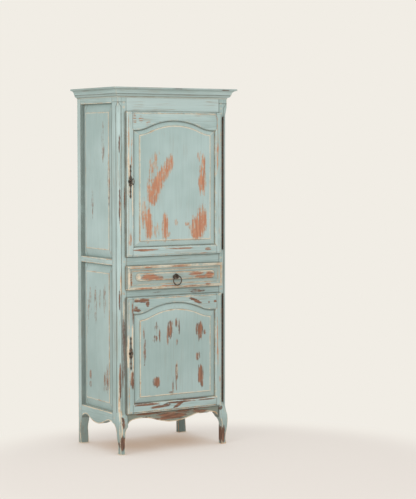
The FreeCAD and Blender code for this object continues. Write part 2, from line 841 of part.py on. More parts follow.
def frame_hinge(long_span, short_span):
    """Two knuckles let into the post, with the pin that the door turns on."""
    pieces = []
    for z0, z1 in (long_span, short_span):
        pieces += [barrel(z0, z1), post_leaf(z0, z1)]
    low = min(long_span[0], short_span[0])
    high = max(long_span[1], short_span[1])
    pieces.append(cylinder_z(hinge_pin_diameter / 2, low, high, hinge_x, hinge_y))
    return join(pieces + [finial(low, -1), finial(high, 1)])


def door_knuckle(z0, z1):
    """The door's long tube and the leaf let into the hinge stile."""
    tube = barrel(z0 + knuckle_gap, z1 - knuckle_gap)
    leaf = box(door_half_width - leaf_in_door, hinge_x, hinge_y - leaf_thickness / 2,
               hinge_y + leaf_thickness / 2, z0 + knuckle_gap, z1 - knuckle_gap)
    bore = cylinder_z(hinge_pin_diameter / 2 + pin_clearance, z0, z1, hinge_x, hinge_y)
    return join([tube, leaf]).cut(bore)


# -------------------------------------------------------------- locks and key
def keyhole_cut(z, y0, y1, grow):
    radius = keyhole_radius + grow
    hole = turned(((radius, 0.0), (radius, y1 - y0)), Vector(keyhole_x, y0, z), Vector(0, 1, 0),
                  keyhole_side_count)
    slot = box(keyhole_x - keyhole_slot / 2 - grow, keyhole_x + keyhole_slot / 2 + grow, y0, y1,
               z - keyhole_drop - grow, z)
    return join([hole, slot])


def escutcheon(z):
    """A long, waisted iron plate, the same above and below its keyhole."""
    quarter = list(plate_edge)
    upper_half = quarter + [(0.0, plate_tip)] + mirror_points(quarter, 0.0)
    edge = upper_half + [(-w, -v) for w, v in upper_half]
    points = [(keyhole_x + w, z + v) for w, v in edge]
    view = outline(on_front, door_face - plate_thickness, points[-1], ("lines", *points))
    plate = prism(view, Vector(0, plate_thickness, 0))
    return plate.cut(keyhole_cut(z, door_face - 2 * plate_thickness, door_face, 0.0))


lock_left = -(opening - rebate_gap - lock_edge_gap)
lock_right = lock_left + lock_width
bolt_front = door_back + lock_wall + bolt_clearance


def bolt(z):
    """The bolt, drawn back into its case."""
    foot = z + bolt_above_key
    return box(lock_left, lock_right - lock_wall - bolt_throw, bolt_front, bolt_front + bolt_thickness,
               foot, foot + bolt_height)


def bolt_room(z, reach):
    """The bolt with its clearance, over its whole throw."""
    foot = z + bolt_above_key
    gap = bolt_clearance
    return box(lock_left - reach, lock_right - lock_wall, bolt_front - gap,
               bolt_front + bolt_thickness + gap, foot - gap, foot + bolt_height + gap)


def lock_case(z):
    """An iron box on the back of the stile, hollow for bolt and key bit."""
    case = box(lock_left, lock_right, door_back, door_back + lock_thickness,
               z - lock_height / 2, z + lock_height / 2)
    swing = key_bit_length + key_hole_clearance
    bit_room = box(keyhole_x - swing, keyhole_x + swing, bolt_front,
                   door_back + lock_thickness - lock_wall, z - swing, z + swing)
    shank = cylinder_y(key_shank_diameter / 2 + key_hole_clearance, door_back, bolt_front, keyhole_x, z)
    slot = keyhole_cut(z, door_back, bolt_front, 0.0)
    return case.cut([bolt_room(z, beyond), bit_room, shank, slot])


def oval(tall, deep, centre_y, z, across):
    """An oval bar along X: a many-sided round, drawn out upwards."""
    rings = []
    for x in (keyhole_x - across / 2, keyhole_x + across / 2):
        centre = Vector(x, centre_y, z)
        rings.append(many_sided(centre, 1.0, bow_side_count, Vector(0, deep, 0), Vector(0, 0, tall), 0.0))
    return skin(rings)


def key():
    """A bow, a shank and a bit, standing in the upper lock."""
    z = upper.keyhole
    tip = door_face - plate_thickness - key_projection
    deep, tall = bow_depth / 2, bow_height / 2
    bow_y = tip + deep
    hole = oval(tall - bow_wire, deep - bow_wire, bow_y, z, 2 * bow_wire)
    bow = oval(tall, deep, bow_y, z, bow_wire).cut(hole)
    shank_end = door_back + lock_thickness - lock_wall - key_hole_clearance
    shank = cylinder_y(key_shank_diameter / 2, bow_y + deep - bow_wire / 2, shank_end, keyhole_x, z)
    bit = box(keyhole_x - key_bit_thickness / 2, keyhole_x + key_bit_thickness / 2,
              shank_end - key_bit_width, shank_end, z - key_bit_length, z)
    return join([bow, shank, bit])


# -------------------------------------------------------------------- drawer
drawer_face = front - drawer_proud
drawer_ground = drawer_face + drawer_band_step + drawer_bevel_drop
tablet_face = drawer_ground - tablet_raise
drawer_inner_face = front + drawer_front_inner
drawer_back_face = front + drawer_length
drawer_side_outer = opening - drawer_side_gap
drawer_side_inner = drawer_side_outer - drawer_side_thickness
drawer_low = drawer_opening[0] + drawer_run_gap
drawer_high = drawer_opening[1] - drawer_head_gap


def drawer_border(depth, inset):
    half = drawer_half_width - inset
    return rectangle(on_front, depth, -half, half, drawer_foot + inset, drawer_top - inset)


def tablet():
    """The raised field with round ends."""
    radius = tablet_height / 2
    end = tablet_half_length - radius
    low, high = pull_height - radius, pull_height + radius
    view = outline(
        on_front, drawer_ground, (-end, low),
        ("lines", (end, low)),
        ("arcs", (tablet_half_length, pull_height), (end, high)),
        ("lines", (-end, high)),
        ("arcs", (-tablet_half_length, pull_height), (-end, low)),
    )
    solid = prism(view, Vector(0, -tablet_raise, 0))
    return solid.makeChamfer(tablet_chamfer, front_edges(solid, tablet_face))


def tails(x_outer, x_inner, lap_face, root, z0, z1):
    """Dovetails on a drawer side: wide at the lap face, narrow at the root."""
    pitch = (z1 - z0) / dovetail_count
    flare = abs(root - lap_face) * dovetail_slope
    pieces = []
    for index in range(dovetail_count):
        middle = z0 + (index + 0.5) * pitch
        narrow = pitch * dovetail_root
        wide = narrow + flare
        view = outline(
            on_side, x_outer, (root, middle - narrow),
            ("lines", (lap_face, middle - wide), (lap_face, middle + wide),
             (root, middle + narrow), (root, middle - narrow)),
        )
        pieces.append(prism(view, Vector(x_inner - x_outer, 0, 0)))
    return pieces


def drawer_side():
    """The left side, with tails at the front and at the back."""
    x0, x1 = -drawer_side_outer, -drawer_side_inner
    back_root = drawer_back_face - drawer_back_thickness
    body = box(x0, x1, drawer_inner_face, back_root, drawer_low, drawer_high)
    lap = drawer_inner_face - (drawer_front_inner - dovetail_lap)
    front_tails = tails(x0, x1, lap, drawer_inner_face, drawer_low, drawer_high)
    back_tails = tails(x0, x1, drawer_back_face, back_root, drawer_low, drawer_high)
    return join([body] + front_tails + back_tails).cut(drawer_bottom_room())


def drawer_bottom_room():
    """The groove for the drawer's bottom in sides and front."""
    z = drawer_low + drawer_groove_up
    half = drawer_side_inner + drawer_groove
    return box(-half, half, drawer_inner_face - drawer_groove, drawer_back_face,
               z, z + drawer_bottom_thickness)


def drawer_front_piece(sides):
    """Lipped front with a stepped border and a raised tablet."""
    half = drawer_half_width
    lip = eased_slab(half, drawer_foot, drawer_top, drawer_face, front - lip_gap, drawer_round)
    band_face = drawer_face + drawer_band_step
    recess = prism(drawer_border(drawer_face, drawer_band), Vector(0, drawer_band_step, 0))
    bevel = skin([corners(drawer_border(band_face, drawer_band)),
                  corners(drawer_border(drawer_ground, drawer_band + drawer_bevel))])
    deep = Vector(0, drawer_quirk, 0)
    quirk_outer = prism(drawer_border(drawer_ground, drawer_band + drawer_bevel), deep)
    quirk_inner = prism(drawer_border(drawer_ground, drawer_band + drawer_bevel + drawer_quirk), deep)
    inner = box(-drawer_side_outer, drawer_side_outer, front - lip_gap, drawer_inner_face,
                drawer_low, drawer_high)
    body = join([lip.cut([recess, bevel, quirk_outer.cut(quirk_inner)]), tablet(), inner])
    return body.cut(sides + [drawer_bottom_room()])


def drawer_back_piece(sides):
    """The back stands on the bottom, so that the bottom can slide in below it."""
    bottom_top = drawer_low + drawer_groove_up + drawer_bottom_thickness
    body = box(-drawer_side_outer, drawer_side_outer, drawer_back_face - drawer_back_thickness,
               drawer_back_face, bottom_top, drawer_high - drawer_back_drop)
    return body.cut(sides)


def drawer_bottom_piece():
    z = drawer_low + drawer_groove_up
    half = drawer_side_inner + drawer_groove - panel_float
    return box(-half, half, drawer_inner_face - drawer_groove + panel_float, drawer_back_face,
               z, z + drawer_bottom_thickness)


# ----------------------------------------------------------------- ring pull
pull_y = tablet_face - pull_reach
ring_radius = (ring_outer - ring_wire) / 2


def pull_boss_piece():
    """A rosette with a drilled eye whose flared throat clears the ring's curve."""
    outwards = Vector(0, -1, 0)
    face = Vector(0, tablet_face, pull_height)
    pivot = Vector(0, pull_y, pull_height)
    rosette = turned(((rosette_radius, 0.0), (rosette_radius, rosette_rim),
                      (rosette_radius - rosette_rim, rosette_thickness)), face, outwards, small_flats)
    neck = turned(((pull_neck_radius, 0.0), (pull_neck_radius, pull_reach)), face, outwards, small_flats)
    half = eye_width / 2
    eye = turned(((eye_radius, -half), (eye_radius, half)), pivot, Vector(1, 0, 0), small_flats)
    flats = math.cos(math.pi / small_flats)
    bore = (ring_wire / 2 + ring_clearance) / flats
    curve = ring_radius - ring_wire / 2 - ring_clearance
    mouth = (ring_radius - math.sqrt(curve ** 2 - half ** 2) + ring_clearance) / flats
    throat = turned(((mouth, -half), (bore, 0.0), (mouth, half)), pivot, Vector(1, 0, 0), small_flats)
    return join([rosette, neck, eye]).cut(throat)


def pull_ring_piece():
    """A forged ring: a bar with flats, bent round in short straights, in the eye."""
    centre = Vector(0, pull_y, pull_height - ring_radius)
    rings = []
    for index in range(ring_bends + 1):
        angle = 2 * math.pi * index / ring_bends
        outwards = Vector(math.sin(angle), 0, math.cos(angle))
        rings.append(many_sided(centre + outwards * ring_radius, ring_wire / 2, ring_side_count,
                                outwards, Vector(0, 1, 0)))
    return skin(rings, capped=False)


# ------------------------------------------------------------------ interior
def post_blocks(gap):
    """The four posts as plain blocks grown by a gap, for notching boards."""
    blocks = []
    for sign in (-1, 1):
        for inner, y0, y1 in ((front_post_inner, front, front_post_back),
                              (rear_post_inner, rear_post_front, back)):
            x0, x1 = sorted((sign * (inner - gap), sign * (side + gap)))
            blocks.append(box(x0, x1, y0 - gap, y1 + gap, 0, height))
    return blocks


def notched_board(y0, half, top):
    """A board between the sides, cut round the posts."""
    board = box(-half, half, y0, back - back_board_thickness - shelf_gap, top - board_thickness, top)
    return board.cut(post_blocks(shelf_gap))


def cleat(top):
    """A bearer housed in the front and the rear post, on the left."""
    return box(-rail_inner, -rear_post_inner, front_post_back - cleat_housing,
               rear_post_front + cleat_housing, top - cleat_height, top)


def runner():
    """Left drawer runner with its guide, tenoned to rail and rear post."""
    top = drawer_opening[0]
    inner = -panel_inner + runner_width
    bearer = box(-panel_inner, inner, front + rail_thickness, rear_post_front, top - runner_height, top)
    bearer = bearer.cut(box(-side, -front_post_inner, front, front_post_back, 0, height))
    front_tenon = box(-front_post_inner + beyond, inner - tenon_shoulder,
                      front + rail_thickness - tenon_shoulder, front + rail_thickness,
                      top - runner_height + tenon_shoulder, top - tenon_shoulder)
    rear_tenon = box(-panel_inner, -rear_post_inner - beyond, rear_post_front,
                     rear_post_front + cleat_housing, top - runner_height, top)
    guide = box(-panel_inner, -drawer_side_outer - guide_gap, front_post_back, rear_post_front,
                top, top + guide_height)
    return join([bearer, front_tenon, rear_tenon, guide])


def kicker():
    """Left strip above the drawer's side that keeps the drawer from tipping."""
    return box(-front_post_inner, -drawer_side_inner, front + rail_thickness, rear_post_front,
               drawer_opening[1], upper_opening[0] - board_thickness)


def back_board_pieces():
    """Upright boards, edge to edge, in the rebate of the rear posts."""
    half = rear_post_inner + back_board_lap
    pitch = 2 * half / back_board_count
    boards = []
    for index in range(back_board_count):
        x0 = -half + index * pitch
        boards.append(box(x0 + back_board_gap / 2, x0 + pitch - back_board_gap / 2,
                          back - back_board_thickness, back, back_boards_bottom, case_top))
    return Part.makeCompound(boards)


def shelf_tops(span, count):
    """Levels that part an opening into equal bays."""
    low, high = span
    return [low + (high - low) * (index + 1) / (count + 1) for index in range(count)]


def all_shelf_tops():
    return (shelf_tops(lower_opening, lower_shelf_count)
            + shelf_tops(upper_opening, upper_shelf_count))


def back_rail(z0, z1):
    y1 = back - back_board_thickness
    body = box(-rear_post_inner, rear_post_inner, rear_post_front, y1, z0, z1)
    tenons = box(-rear_post_inner - back_tenon_length, rear_post_inner + back_tenon_length,
                 rear_post_front + tenon_shoulder, rear_post_front + tenon_shoulder + tenon_thickness,
                 z0 + tenon_shoulder, z1 - tenon_shoulder)
    return join([body, tenons])


# --------------------------------------------------------------------- pegs
def peg(start, along, length):
    """A square peg, driven in from a face."""
    reach = peg_width / math.sqrt(2)
    return turned(((reach, 0.0), (reach, length)), start, along, 4)


def peg_list():
    """Pegs that draw the tenons up, on the left half of the case."""
    pegs = []
    x = -front_post_inner - peg_from_shoulder
    apron_mid = (front_arch_spring + 3 * tenon_shoulder + lower_opening[0]) / 2
    frieze_third = frieze_face / 3
    front_levels = (
        upper_door_top + frieze_third, upper_door_top + 2 * frieze_third,
        (upper_opening[0] + drawer_opening[1]) / 2,
        (drawer_opening[0] + lower_opening[1]) / 2, apron_mid,
    )
    for z in front_levels:
        pegs.append(peg(Vector(x, front, z), Vector(0, 1, 0), front_peg_length))
    side_levels = (side_top_rail_bottom + side_top_rail_face / 2,
                   (side_mid_rail_top + side_mid_rail_bottom) / 2,
                   side_apron_top - 4 * tenon_shoulder)
    for z in side_levels:
        for y in (front_post_back - peg_from_shoulder, rear_post_front + rear_peg_from_shoulder):
            pegs.append(peg(Vector(-side, y, z), Vector(1, 0, 0), side_peg_length))
    return pegs


# ----------------------------------------------------------------- assembly
def build_case(parts):
    """Posts, rails, aprons and panels, each cut to seat in the next."""
    frieze = front_rail(upper_opening[1], case_top)
    upper_mid = front_rail(drawer_opening[1], upper_opening[0])
    lower_mid = front_rail(lower_opening[1], drawer_opening[0])
    apron = front_apron_piece()
    grooves = [panel_groove(front_post_back, rear_post_front, z0, z1) for z0, z1 in side_openings]
    top_rail = side_rail(side_top_rail_bottom, case_top)
    mid_rail = side_rail(side_mid_rail_bottom, side_mid_rail_top)
    side_apron = side_apron_piece()
    back_top = back_rail(case_top - back_top_rail_height, case_top)
    back_bottom = back_rail(back_boards_bottom, back_boards_bottom + back_bottom_rail_height)
    pegs = peg_list()
    cleats = [cleat(top - board_thickness)
              for top in [lower_opening[0], upper_opening[0]] + all_shelf_tops()]
    runner_left = runner()
    kicker_left = kicker()

    front_post = front_post_blank().cut(corner_cutter())
    front_post = front_post.cut([frieze, upper_mid, lower_mid, apron, top_rail, mid_rail, side_apron]
                                + grooves + cleats + pegs)
    rear_post = rear_post_blank().cut([back_top, back_bottom, top_rail, mid_rail, side_apron, runner_left]
                                      + grooves + cleats + pegs)
    bolts = [bolt_room(door.keyhole, bolt_throw + strike_room) for door in (upper, lower)]
    both_pegs = pegs + [mirrored(p) for p in pegs]

    parts["front_left_post"] = front_post.cut(bolts)
    parts["front_right_post"] = mirrored(front_post)
    parts["rear_left_post"] = rear_post
    parts["rear_right_post"] = mirrored(rear_post)
    parts["frieze_rail"] = frieze.cut(both_pegs)
    parts["upper_mid_rail"] = upper_mid.cut(both_pegs)
    parts["lower_mid_rail"] = lower_mid.cut(both_pegs + [runner_left, mirrored(runner_left)])
    parts["front_apron"] = apron.cut(both_pegs)
    for name, rail in (("top_rail", top_rail), ("mid_rail", mid_rail), ("apron", side_apron)):
        cut = rail.cut(grooves + pegs)
        parts["left_" + name] = cut
        parts["right_" + name] = mirrored(cut)
    for name, (z0, z1) in zip(("upper_panel", "lower_panel"), side_openings):
        panel = side_panel(z0, z1)
        parts["left_" + name] = panel
        parts["right_" + name] = mirrored(panel)
    parts["back_top_rail"] = back_top
    parts["back_bottom_rail"] = back_bottom
    parts["back_boards"] = back_board_pieces()
    parts["joint_pegs"] = Part.makeCompound(both_pegs)
    parts["shelf_cleats"] = Part.makeCompound(cleats + [mirrored(c) for c in cleats])
    parts["drawer_runners"] = Part.makeCompound([runner_left, mirrored(runner_left)])
    parts["drawer_kickers"] = Part.makeCompound([kicker_left, mirrored(kicker_left)])


def build_boards(parts):
    """Top, floors and shelves."""
    behind_rail = front + rail_thickness
    parts["top_board"] = box(-side, side, front, back, case_top, height)
    full = panel_inner - shelf_gap
    low_board = notched_board(behind_rail, rail_inner - shelf_gap, lower_opening[0])
    parts["bottom_board"] = low_board.cut(parts["back_bottom_rail"])
    parts["upper_floor"] = notched_board(behind_rail, full, upper_opening[0])
    shelves = [notched_board(front + shelf_setback, full, top) for top in all_shelf_tops()]
    parts["shelves"] = Part.makeCompound(shelves)


def build_cornice(parts):
    parts["cornice_front"] = cornice_front_piece()
    parts["cornice_left"] = cornice_left_piece()
    parts["cornice_right"] = mirrored(parts["cornice_left"])


def build_door(parts, name, door, knuckle, frame_part):
    """One door with its lock, its plate and its half of the hinge."""
    lock_stile, hinge_stile, top_rail, bottom_rail = door_pieces(door)
    lock = lock_case(door.keyhole)
    keyway = keyhole_cut(door.keyhole, door_face, door_back, key_hole_clearance)
    parts[name + "_lock_stile"] = lock_stile.cut(keyway)
    parts[name + "_hinge_stile"] = hinge_stile.cut(knuckle)
    parts[name + "_door_top_rail"] = top_rail
    parts[name + "_door_bottom_rail"] = bottom_rail
    parts[name + "_door_panel"] = door_panel(door)
    parts[name + "_door_knuckle"] = knuckle
    parts[name + "_escutcheon"] = escutcheon(door.keyhole)
    parts[name + "_lock_case"] = lock
    parts[name + "_bolt"] = bolt(door.keyhole)
    parts[name + "_frame_hinge"] = frame_part
    parts["front_right_post"] = parts["front_right_post"].cut(frame_part)


def build_doors(parts):
    """The upper hinge's long frame knuckle is at its foot, the lower one's at its head."""
    head = upper.top - upper_hinge_below_top
    foot = upper.bottom + upper_hinge_above_foot
    keeper = head - short_knuckle
    joint = foot + long_knuckle
    frame_part = frame_hinge((foot, joint), (keeper, head))
    build_door(parts, "upper", upper, door_knuckle(joint, keeper), frame_part)
    head = lower.top - lower_hinge_below_top
    foot = lower.bottom + lower_hinge_above_foot
    keeper = foot + short_knuckle
    joint = head - long_knuckle
    frame_part = frame_hinge((joint, head), (foot, keeper))
    build_door(parts, "lower", lower, door_knuckle(keeper, joint), frame_part)
    parts["upper_key"] = key()


def build_drawer(parts):
    left = drawer_side()
    right = mirrored(left)
    parts["drawer_left_side"] = left
    parts["drawer_right_side"] = right
    parts["drawer_front"] = drawer_front_piece([left, right])
    parts["drawer_back"] = drawer_back_piece([left, right])
    parts["drawer_bottom"] = drawer_bottom_piece()
    parts["pull_boss"] = pull_boss_piece()
    parts["pull_ring"] = pull_ring_piece()


def main():
    os.makedirs("parts", exist_ok=True)
    parts = {}
    build_case(parts)
    build_boards(parts)
    build_cornice(parts)
    build_doors(parts)
    build_drawer(parts)
    for name, shape in parts.items():
        shape.exportStep("parts/" + name + ".step")
    print(len(parts), "parts")


main()
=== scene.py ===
# %% [markdown]
# # Dressing a painted bonnetiere
# A bonnetiere is a tall, narrow French cupboard, made for tall headdresses. This one is
# joined wood, painted duck-egg green and rubbed back until wood shows at the edges. The CAD
# model has every board, tenon and hinge in its place, in metres. This lesson gives each
# piece its finish, softens its edges and forges its ironwork.

# %% Load the frame
import json
import math

import bmesh
import bpy
from mathutils import Matrix, Vector


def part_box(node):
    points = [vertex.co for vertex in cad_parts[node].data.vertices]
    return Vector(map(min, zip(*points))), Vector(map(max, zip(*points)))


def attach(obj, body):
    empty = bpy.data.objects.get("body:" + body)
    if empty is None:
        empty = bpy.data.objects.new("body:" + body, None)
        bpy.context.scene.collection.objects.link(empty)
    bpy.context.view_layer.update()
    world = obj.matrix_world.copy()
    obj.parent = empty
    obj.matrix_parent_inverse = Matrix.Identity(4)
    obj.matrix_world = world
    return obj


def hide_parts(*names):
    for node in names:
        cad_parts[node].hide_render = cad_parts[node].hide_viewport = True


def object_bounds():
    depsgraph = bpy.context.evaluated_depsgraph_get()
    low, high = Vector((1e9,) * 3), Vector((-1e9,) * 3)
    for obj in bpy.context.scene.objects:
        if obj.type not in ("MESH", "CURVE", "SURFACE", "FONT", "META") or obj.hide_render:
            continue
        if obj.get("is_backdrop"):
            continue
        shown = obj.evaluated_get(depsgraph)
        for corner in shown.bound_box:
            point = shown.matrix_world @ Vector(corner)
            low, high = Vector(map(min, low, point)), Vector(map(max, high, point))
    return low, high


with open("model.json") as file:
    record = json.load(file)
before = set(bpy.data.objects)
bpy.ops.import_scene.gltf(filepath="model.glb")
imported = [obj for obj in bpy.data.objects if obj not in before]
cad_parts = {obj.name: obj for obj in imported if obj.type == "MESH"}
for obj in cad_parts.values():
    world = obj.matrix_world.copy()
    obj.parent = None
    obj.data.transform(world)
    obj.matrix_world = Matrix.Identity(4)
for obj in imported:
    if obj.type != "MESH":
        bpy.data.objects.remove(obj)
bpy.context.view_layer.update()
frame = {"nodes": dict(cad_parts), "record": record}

# %% [markdown]
# ## The camera
# The cupboard is seen from its front left corner, from eye height and from far away, so that
# its upright lines stay nearly parallel. A long lens does that. The picture is upright, so
# the sensor is measured by its height.

# %% The camera
def in_scene(name, data):
    """A new object in the scene: a camera, a lamp or a mesh."""
    thing = bpy.data.objects.new(name, data)
    bpy.context.scene.collection.objects.link(thing)
    return thing


camera_data = bpy.data.cameras.new("camera")
camera = in_scene("camera", camera_data)
camera.location = (-4.3975, -7.4297, 1.5834)
camera.rotation_euler = (math.radians(90 - 3.556), 0, math.radians(-32.4972))
camera_data.sensor_fit = "VERTICAL"
camera_data.sensor_height = 36
camera_data.lens = 116.7
bpy.context.scene.camera = camera
print("lens", camera_data.lens, "mm")

# %% [markdown]
# ## Colours
# Colours are known as they look on a screen, but Blender mixes light, so it wants linear
# values, and one small function makes them. The paint is two close greens, because old milk
# paint dries unevenly. Under it lie a cream ground and rusty brown wood, and a thin
# grey-brown glaze has run into every groove.

# %% Colours
def tint(red, green, blue):
    """A screen colour from 0 to 255 as Blender's linear red, green, blue, alpha."""
    def straight(level):
        level /= 255
        return level / 12.92 if level <= 0.04045 else ((level + 0.055) / 1.055) ** 2.4
    return (straight(red), straight(green), straight(blue), 1.0)


duck_egg = tint(177, 197, 194)
deep_duck_egg = tint(159, 180, 176)
# shaded_green is painted shade in wider hollows, and the green the paint darkens to near the floor.
shaded_green = tint(116, 130, 122)
cream_ground = tint(224, 208, 182)
ochre_ground = tint(204, 164, 122)
rusty_wood = tint(188, 124, 94)
dark_wood = tint(84, 60, 48)
# glaze is also the colour of the dark joints and of the lines of painted shade.
glaze = tint(102, 102, 92)
print("duck egg in linear light", [round(c, 3) for c in duck_egg[:3]])

# %% [markdown]
# ## A bench for wiring materials
# A material is a graph of small steps. This class adds one step per call, so that a recipe
# reads like a sentence: times, plus, less and most are its four sums, and coat lays one more
# colour over what is there. What is already an output is linked, and any number or colour
# is typed into the socket.

# %% A bench for wiring materials
class Bench:
    """A material's graph and the tools to wire it."""

    def __init__(self, tree, colour=None):
        self.tree, self.colour = tree, colour

    def step(self, kind, inputs=(), **settings):
        node = self.tree.nodes.new("ShaderNode" + kind)
        for name, value in settings.items():
            setattr(node, name, value)
        for name, value in dict(inputs).items():
            self.feed(node.inputs[name], value)
        return node

    def feed(self, socket, value):
        if isinstance(value, bpy.types.NodeSocket):
            self.tree.links.new(value, socket)
        else:
            socket.default_value = value

    def math(self, operation, a, b=0.0, clamp=False):
        return self.step("Math", {0: a, 1: b}, operation=operation, use_clamp=clamp).outputs[0]

    def times(self, a, b):
        return self.math("MULTIPLY", a, b)

    def plus(self, a, b):
        return self.math("ADD", a, b)

    def less(self, a, b):
        return self.math("SUBTRACT", a, b)

    def most(self, value, *others):
        for other in others:
            value = self.math("MAXIMUM", value, other)
        return value

    def vector(self, operation, a, b=(0, 0, 0)):
        node = self.step("VectorMath", {0: a, 1: b}, operation=operation)
        return node.outputs["Value" if operation == "LENGTH" else "Vector"]

    def squeeze(self, place, by):
        return self.vector("MULTIPLY", place, by)

    def blend(self, factor, a, b):
        return self.step("Mix", {"Factor": factor, 6: a, 7: b}, data_type="RGBA").outputs[2]

    def coat(self, share, colour):
        """One more coat of colour over what is there, as thick as its share."""
        self.colour = self.blend(share, self.colour, colour)

    def band(self, value, low, high, to_low=0.0, to_high=1.0):
        """A smooth step: to_low under low, to_high over high."""
        names = {"Value": value, "From Min": low, "From Max": high, "To Min": to_low, "To Max": to_high}
        return self.step("MapRange", names, interpolation_type="SMOOTHSTEP").outputs[0]

    def noise(self, place, scale, detail, roughness):
        names = {"Vector": place, "Scale": scale, "Detail": detail, "Roughness": roughness}
        return self.step("TexNoise", names).outputs[0]

    def shut_in(self, reach, inside=False):
        """How much surface lies within reach: 0 on a plain face, 0.5 in a square corner.

        Seen from inside the wood, the corners that stand out are the ones that shut it in.
        """
        node = self.step("AmbientOcclusion", {"Distance": reach}, samples=8,
                         inside=inside, only_local=inside)
        return self.less(1.0, node.outputs["AO"])


print("bench ready")

# %% [markdown]
# ## The painted finish
# Distressed paint is made in layers, and the recipe follows them. First come two greens,
# mixed in soft clouds, with brush lines along the grain. The brush also dragged some brown
# glaze into thin lines: where stretched noise crosses its middle value, it draws such a line.

# %% Paint and brush lines
dark_brush, pale_brush = tint(134, 150, 142), tint(196, 210, 204)


def cloudy_paint(bench, place, stroke, brushed):
    """Two greens in clouds, with brush lines along the stroke."""
    bench.coat(bench.band(bench.noise(place, 2.6, 3.0, 0.6), 0.3, 0.72), deep_duck_egg)
    lines = bench.noise(bench.squeeze(place, stroke), 1.0, 5.0, 0.66)
    amount = bench.plus(0.1, bench.times(brushed, 0.9))
    dark_lines = bench.times(bench.band(lines, 0.5, 0.7, 0.0, 0.62), amount)
    pale_lines = bench.times(bench.band(lines, 0.5, 0.34, 0.0, 0.4), amount)
    bench.coat(dark_lines, dark_brush)
    bench.coat(pale_lines, pale_brush)
    return lines


def dragged_lines(bench, place, stroke, brushed):
    """Long thin lines along the stroke, in some places only."""
    long_stroke = bench.squeeze(stroke, (0.45, 0.45, 0.45))
    ridge = bench.noise(bench.squeeze(place, long_stroke), 1.0, 2.0, 0.5)
    line = bench.band(bench.math("ABSOLUTE", bench.less(ridge, 0.5)), 0.03, 0.006)
    where = bench.band(bench.noise(place, 6.0, 2.0, 0.5), 0.44, 0.6)
    return bench.times(bench.times(line, where), brushed)


print("paint:", [round(c, 3) for c in deep_duck_egg[:3]])

# %% [markdown]
# Then the glaze is wiped on, and it stays in the grooves, while wider hollows get a little
# painted shade. After that the edges are rubbed until the cream ground shows, and here and
# there the wood. Edges could be painted by hand, but the Ambient Occlusion node finds what
# shuts a point in: from outside, that is a groove, and from inside the wood, an edge that
# stands out.

# %% Glaze, painted shade and rubbed edges
groove_reach, hollow_reach, edge_reach = 0.0085, 0.04, 0.0066


def glazed_and_shaded(bench, patchy, amount):
    """Grey-brown glaze in grooves, and a little shade in wider hollows."""
    groove = bench.times(bench.band(bench.shut_in(groove_reach), 0.06, 0.28), amount)
    hollow = bench.times(bench.band(bench.shut_in(hollow_reach), 0.15, 0.6, 0.0, 0.3), amount)
    uneven = bench.band(patchy, 0.3, 0.62, 0.65, 1.0)
    bench.coat(hollow, shaded_green)
    bench.coat(bench.times(groove, uneven), glaze)


def rubbed_edges(bench, place, worn):
    """How far an edge is rubbed: 0 on faces, 1 on a worn arris."""
    edge = bench.shut_in(edge_reach, inside=True)
    uneven = bench.noise(bench.squeeze(place, (34, 34, 34)), 1.0, 3.0, 0.65)
    shift = bench.times(bench.less(uneven, 0.52), 0.9)
    shift = bench.plus(shift, bench.times(bench.less(worn, 1.0), 0.42))
    reach = bench.times(bench.plus(edge, shift), bench.band(edge, 0.04, 0.12))
    return bench.times(bench.band(reach, 0.07, 0.2), bench.band(worn, 0.0, 0.25))


print("glaze:", [round(c, 3) for c in glaze[:3]])

# %% [markdown]
# Last come the places that were sanded through, which each board draws for itself. Their
# strength, from 0 to 1, is roughened with streaks along the grain. Where little is left of
# it the paint is only thin, and where much is left the wood shows.

# %% Sanded through
def sanded_through(bench, place, streak, sanded):
    """Two shares: where the paint is thin, and where it is gone."""
    streaks = bench.noise(bench.squeeze(place, streak), 1.0, 4.0, 0.62)
    flecks = bench.noise(place, 60.0, 3.0, 0.6)
    rough = bench.times(bench.less(streaks, 0.5), 3.2)
    rough = bench.plus(rough, bench.times(bench.less(flecks, 0.5), 1.2))
    left = bench.plus(bench.times(sanded, 0.88), rough)
    left = bench.times(left, bench.band(sanded, 0.0, 0.12))
    return bench.band(left, 0.12, 0.6), bench.band(left, 0.42, 0.9)


warm_wood, cold_wood = tint(212, 152, 116), tint(142, 102, 80)


def wood_colour(bench, place, stroke, darkness):
    """Stained wood: orange to red-brown, streaked along the grain."""
    grain = bench.noise(bench.squeeze(place, stroke), 1.6, 4.0, 0.6)
    warm = bench.blend(bench.band(grain, 0.38, 0.6), warm_wood, rusty_wood)
    cold = bench.blend(bench.band(grain, 0.38, 0.6), cold_wood, dark_wood)
    return bench.blend(darkness, warm, cold)


print("wood:", [round(c, 3) for c in rusty_wood[:3]])

# %% [markdown]
# The layers come together in one node group, so that every board shares the recipe. A
# group starts with its sockets: what it is told (four vectors and eight amounts) and what it
# gives (a colour, a roughness and a height).

# %% The paint group
paint_group = bpy.data.node_groups.new("distressed_paint", "ShaderNodeTree")
for names, kind in (("Place Shift Stroke Streak", "Vector"),
                    ("Sanded Darkness Brushed Worn Lines Creamy Glazing Faded", "Float")):
    for name in names.split():
        paint_group.interface.new_socket(name, in_out="INPUT", socket_type="NodeSocket" + kind)
for name, kind in (("Colour", "Color"), ("Roughness", "Float"), ("Height", "Float")):
    paint_group.interface.new_socket(name, in_out="OUTPUT", socket_type="NodeSocket" + kind)
into = paint_group.nodes.new("NodeGroupInput").outputs
out = paint_group.nodes.new("NodeGroupOutput").inputs
print(len(into) - 1, "sockets in,", len(out) - 1, "out")
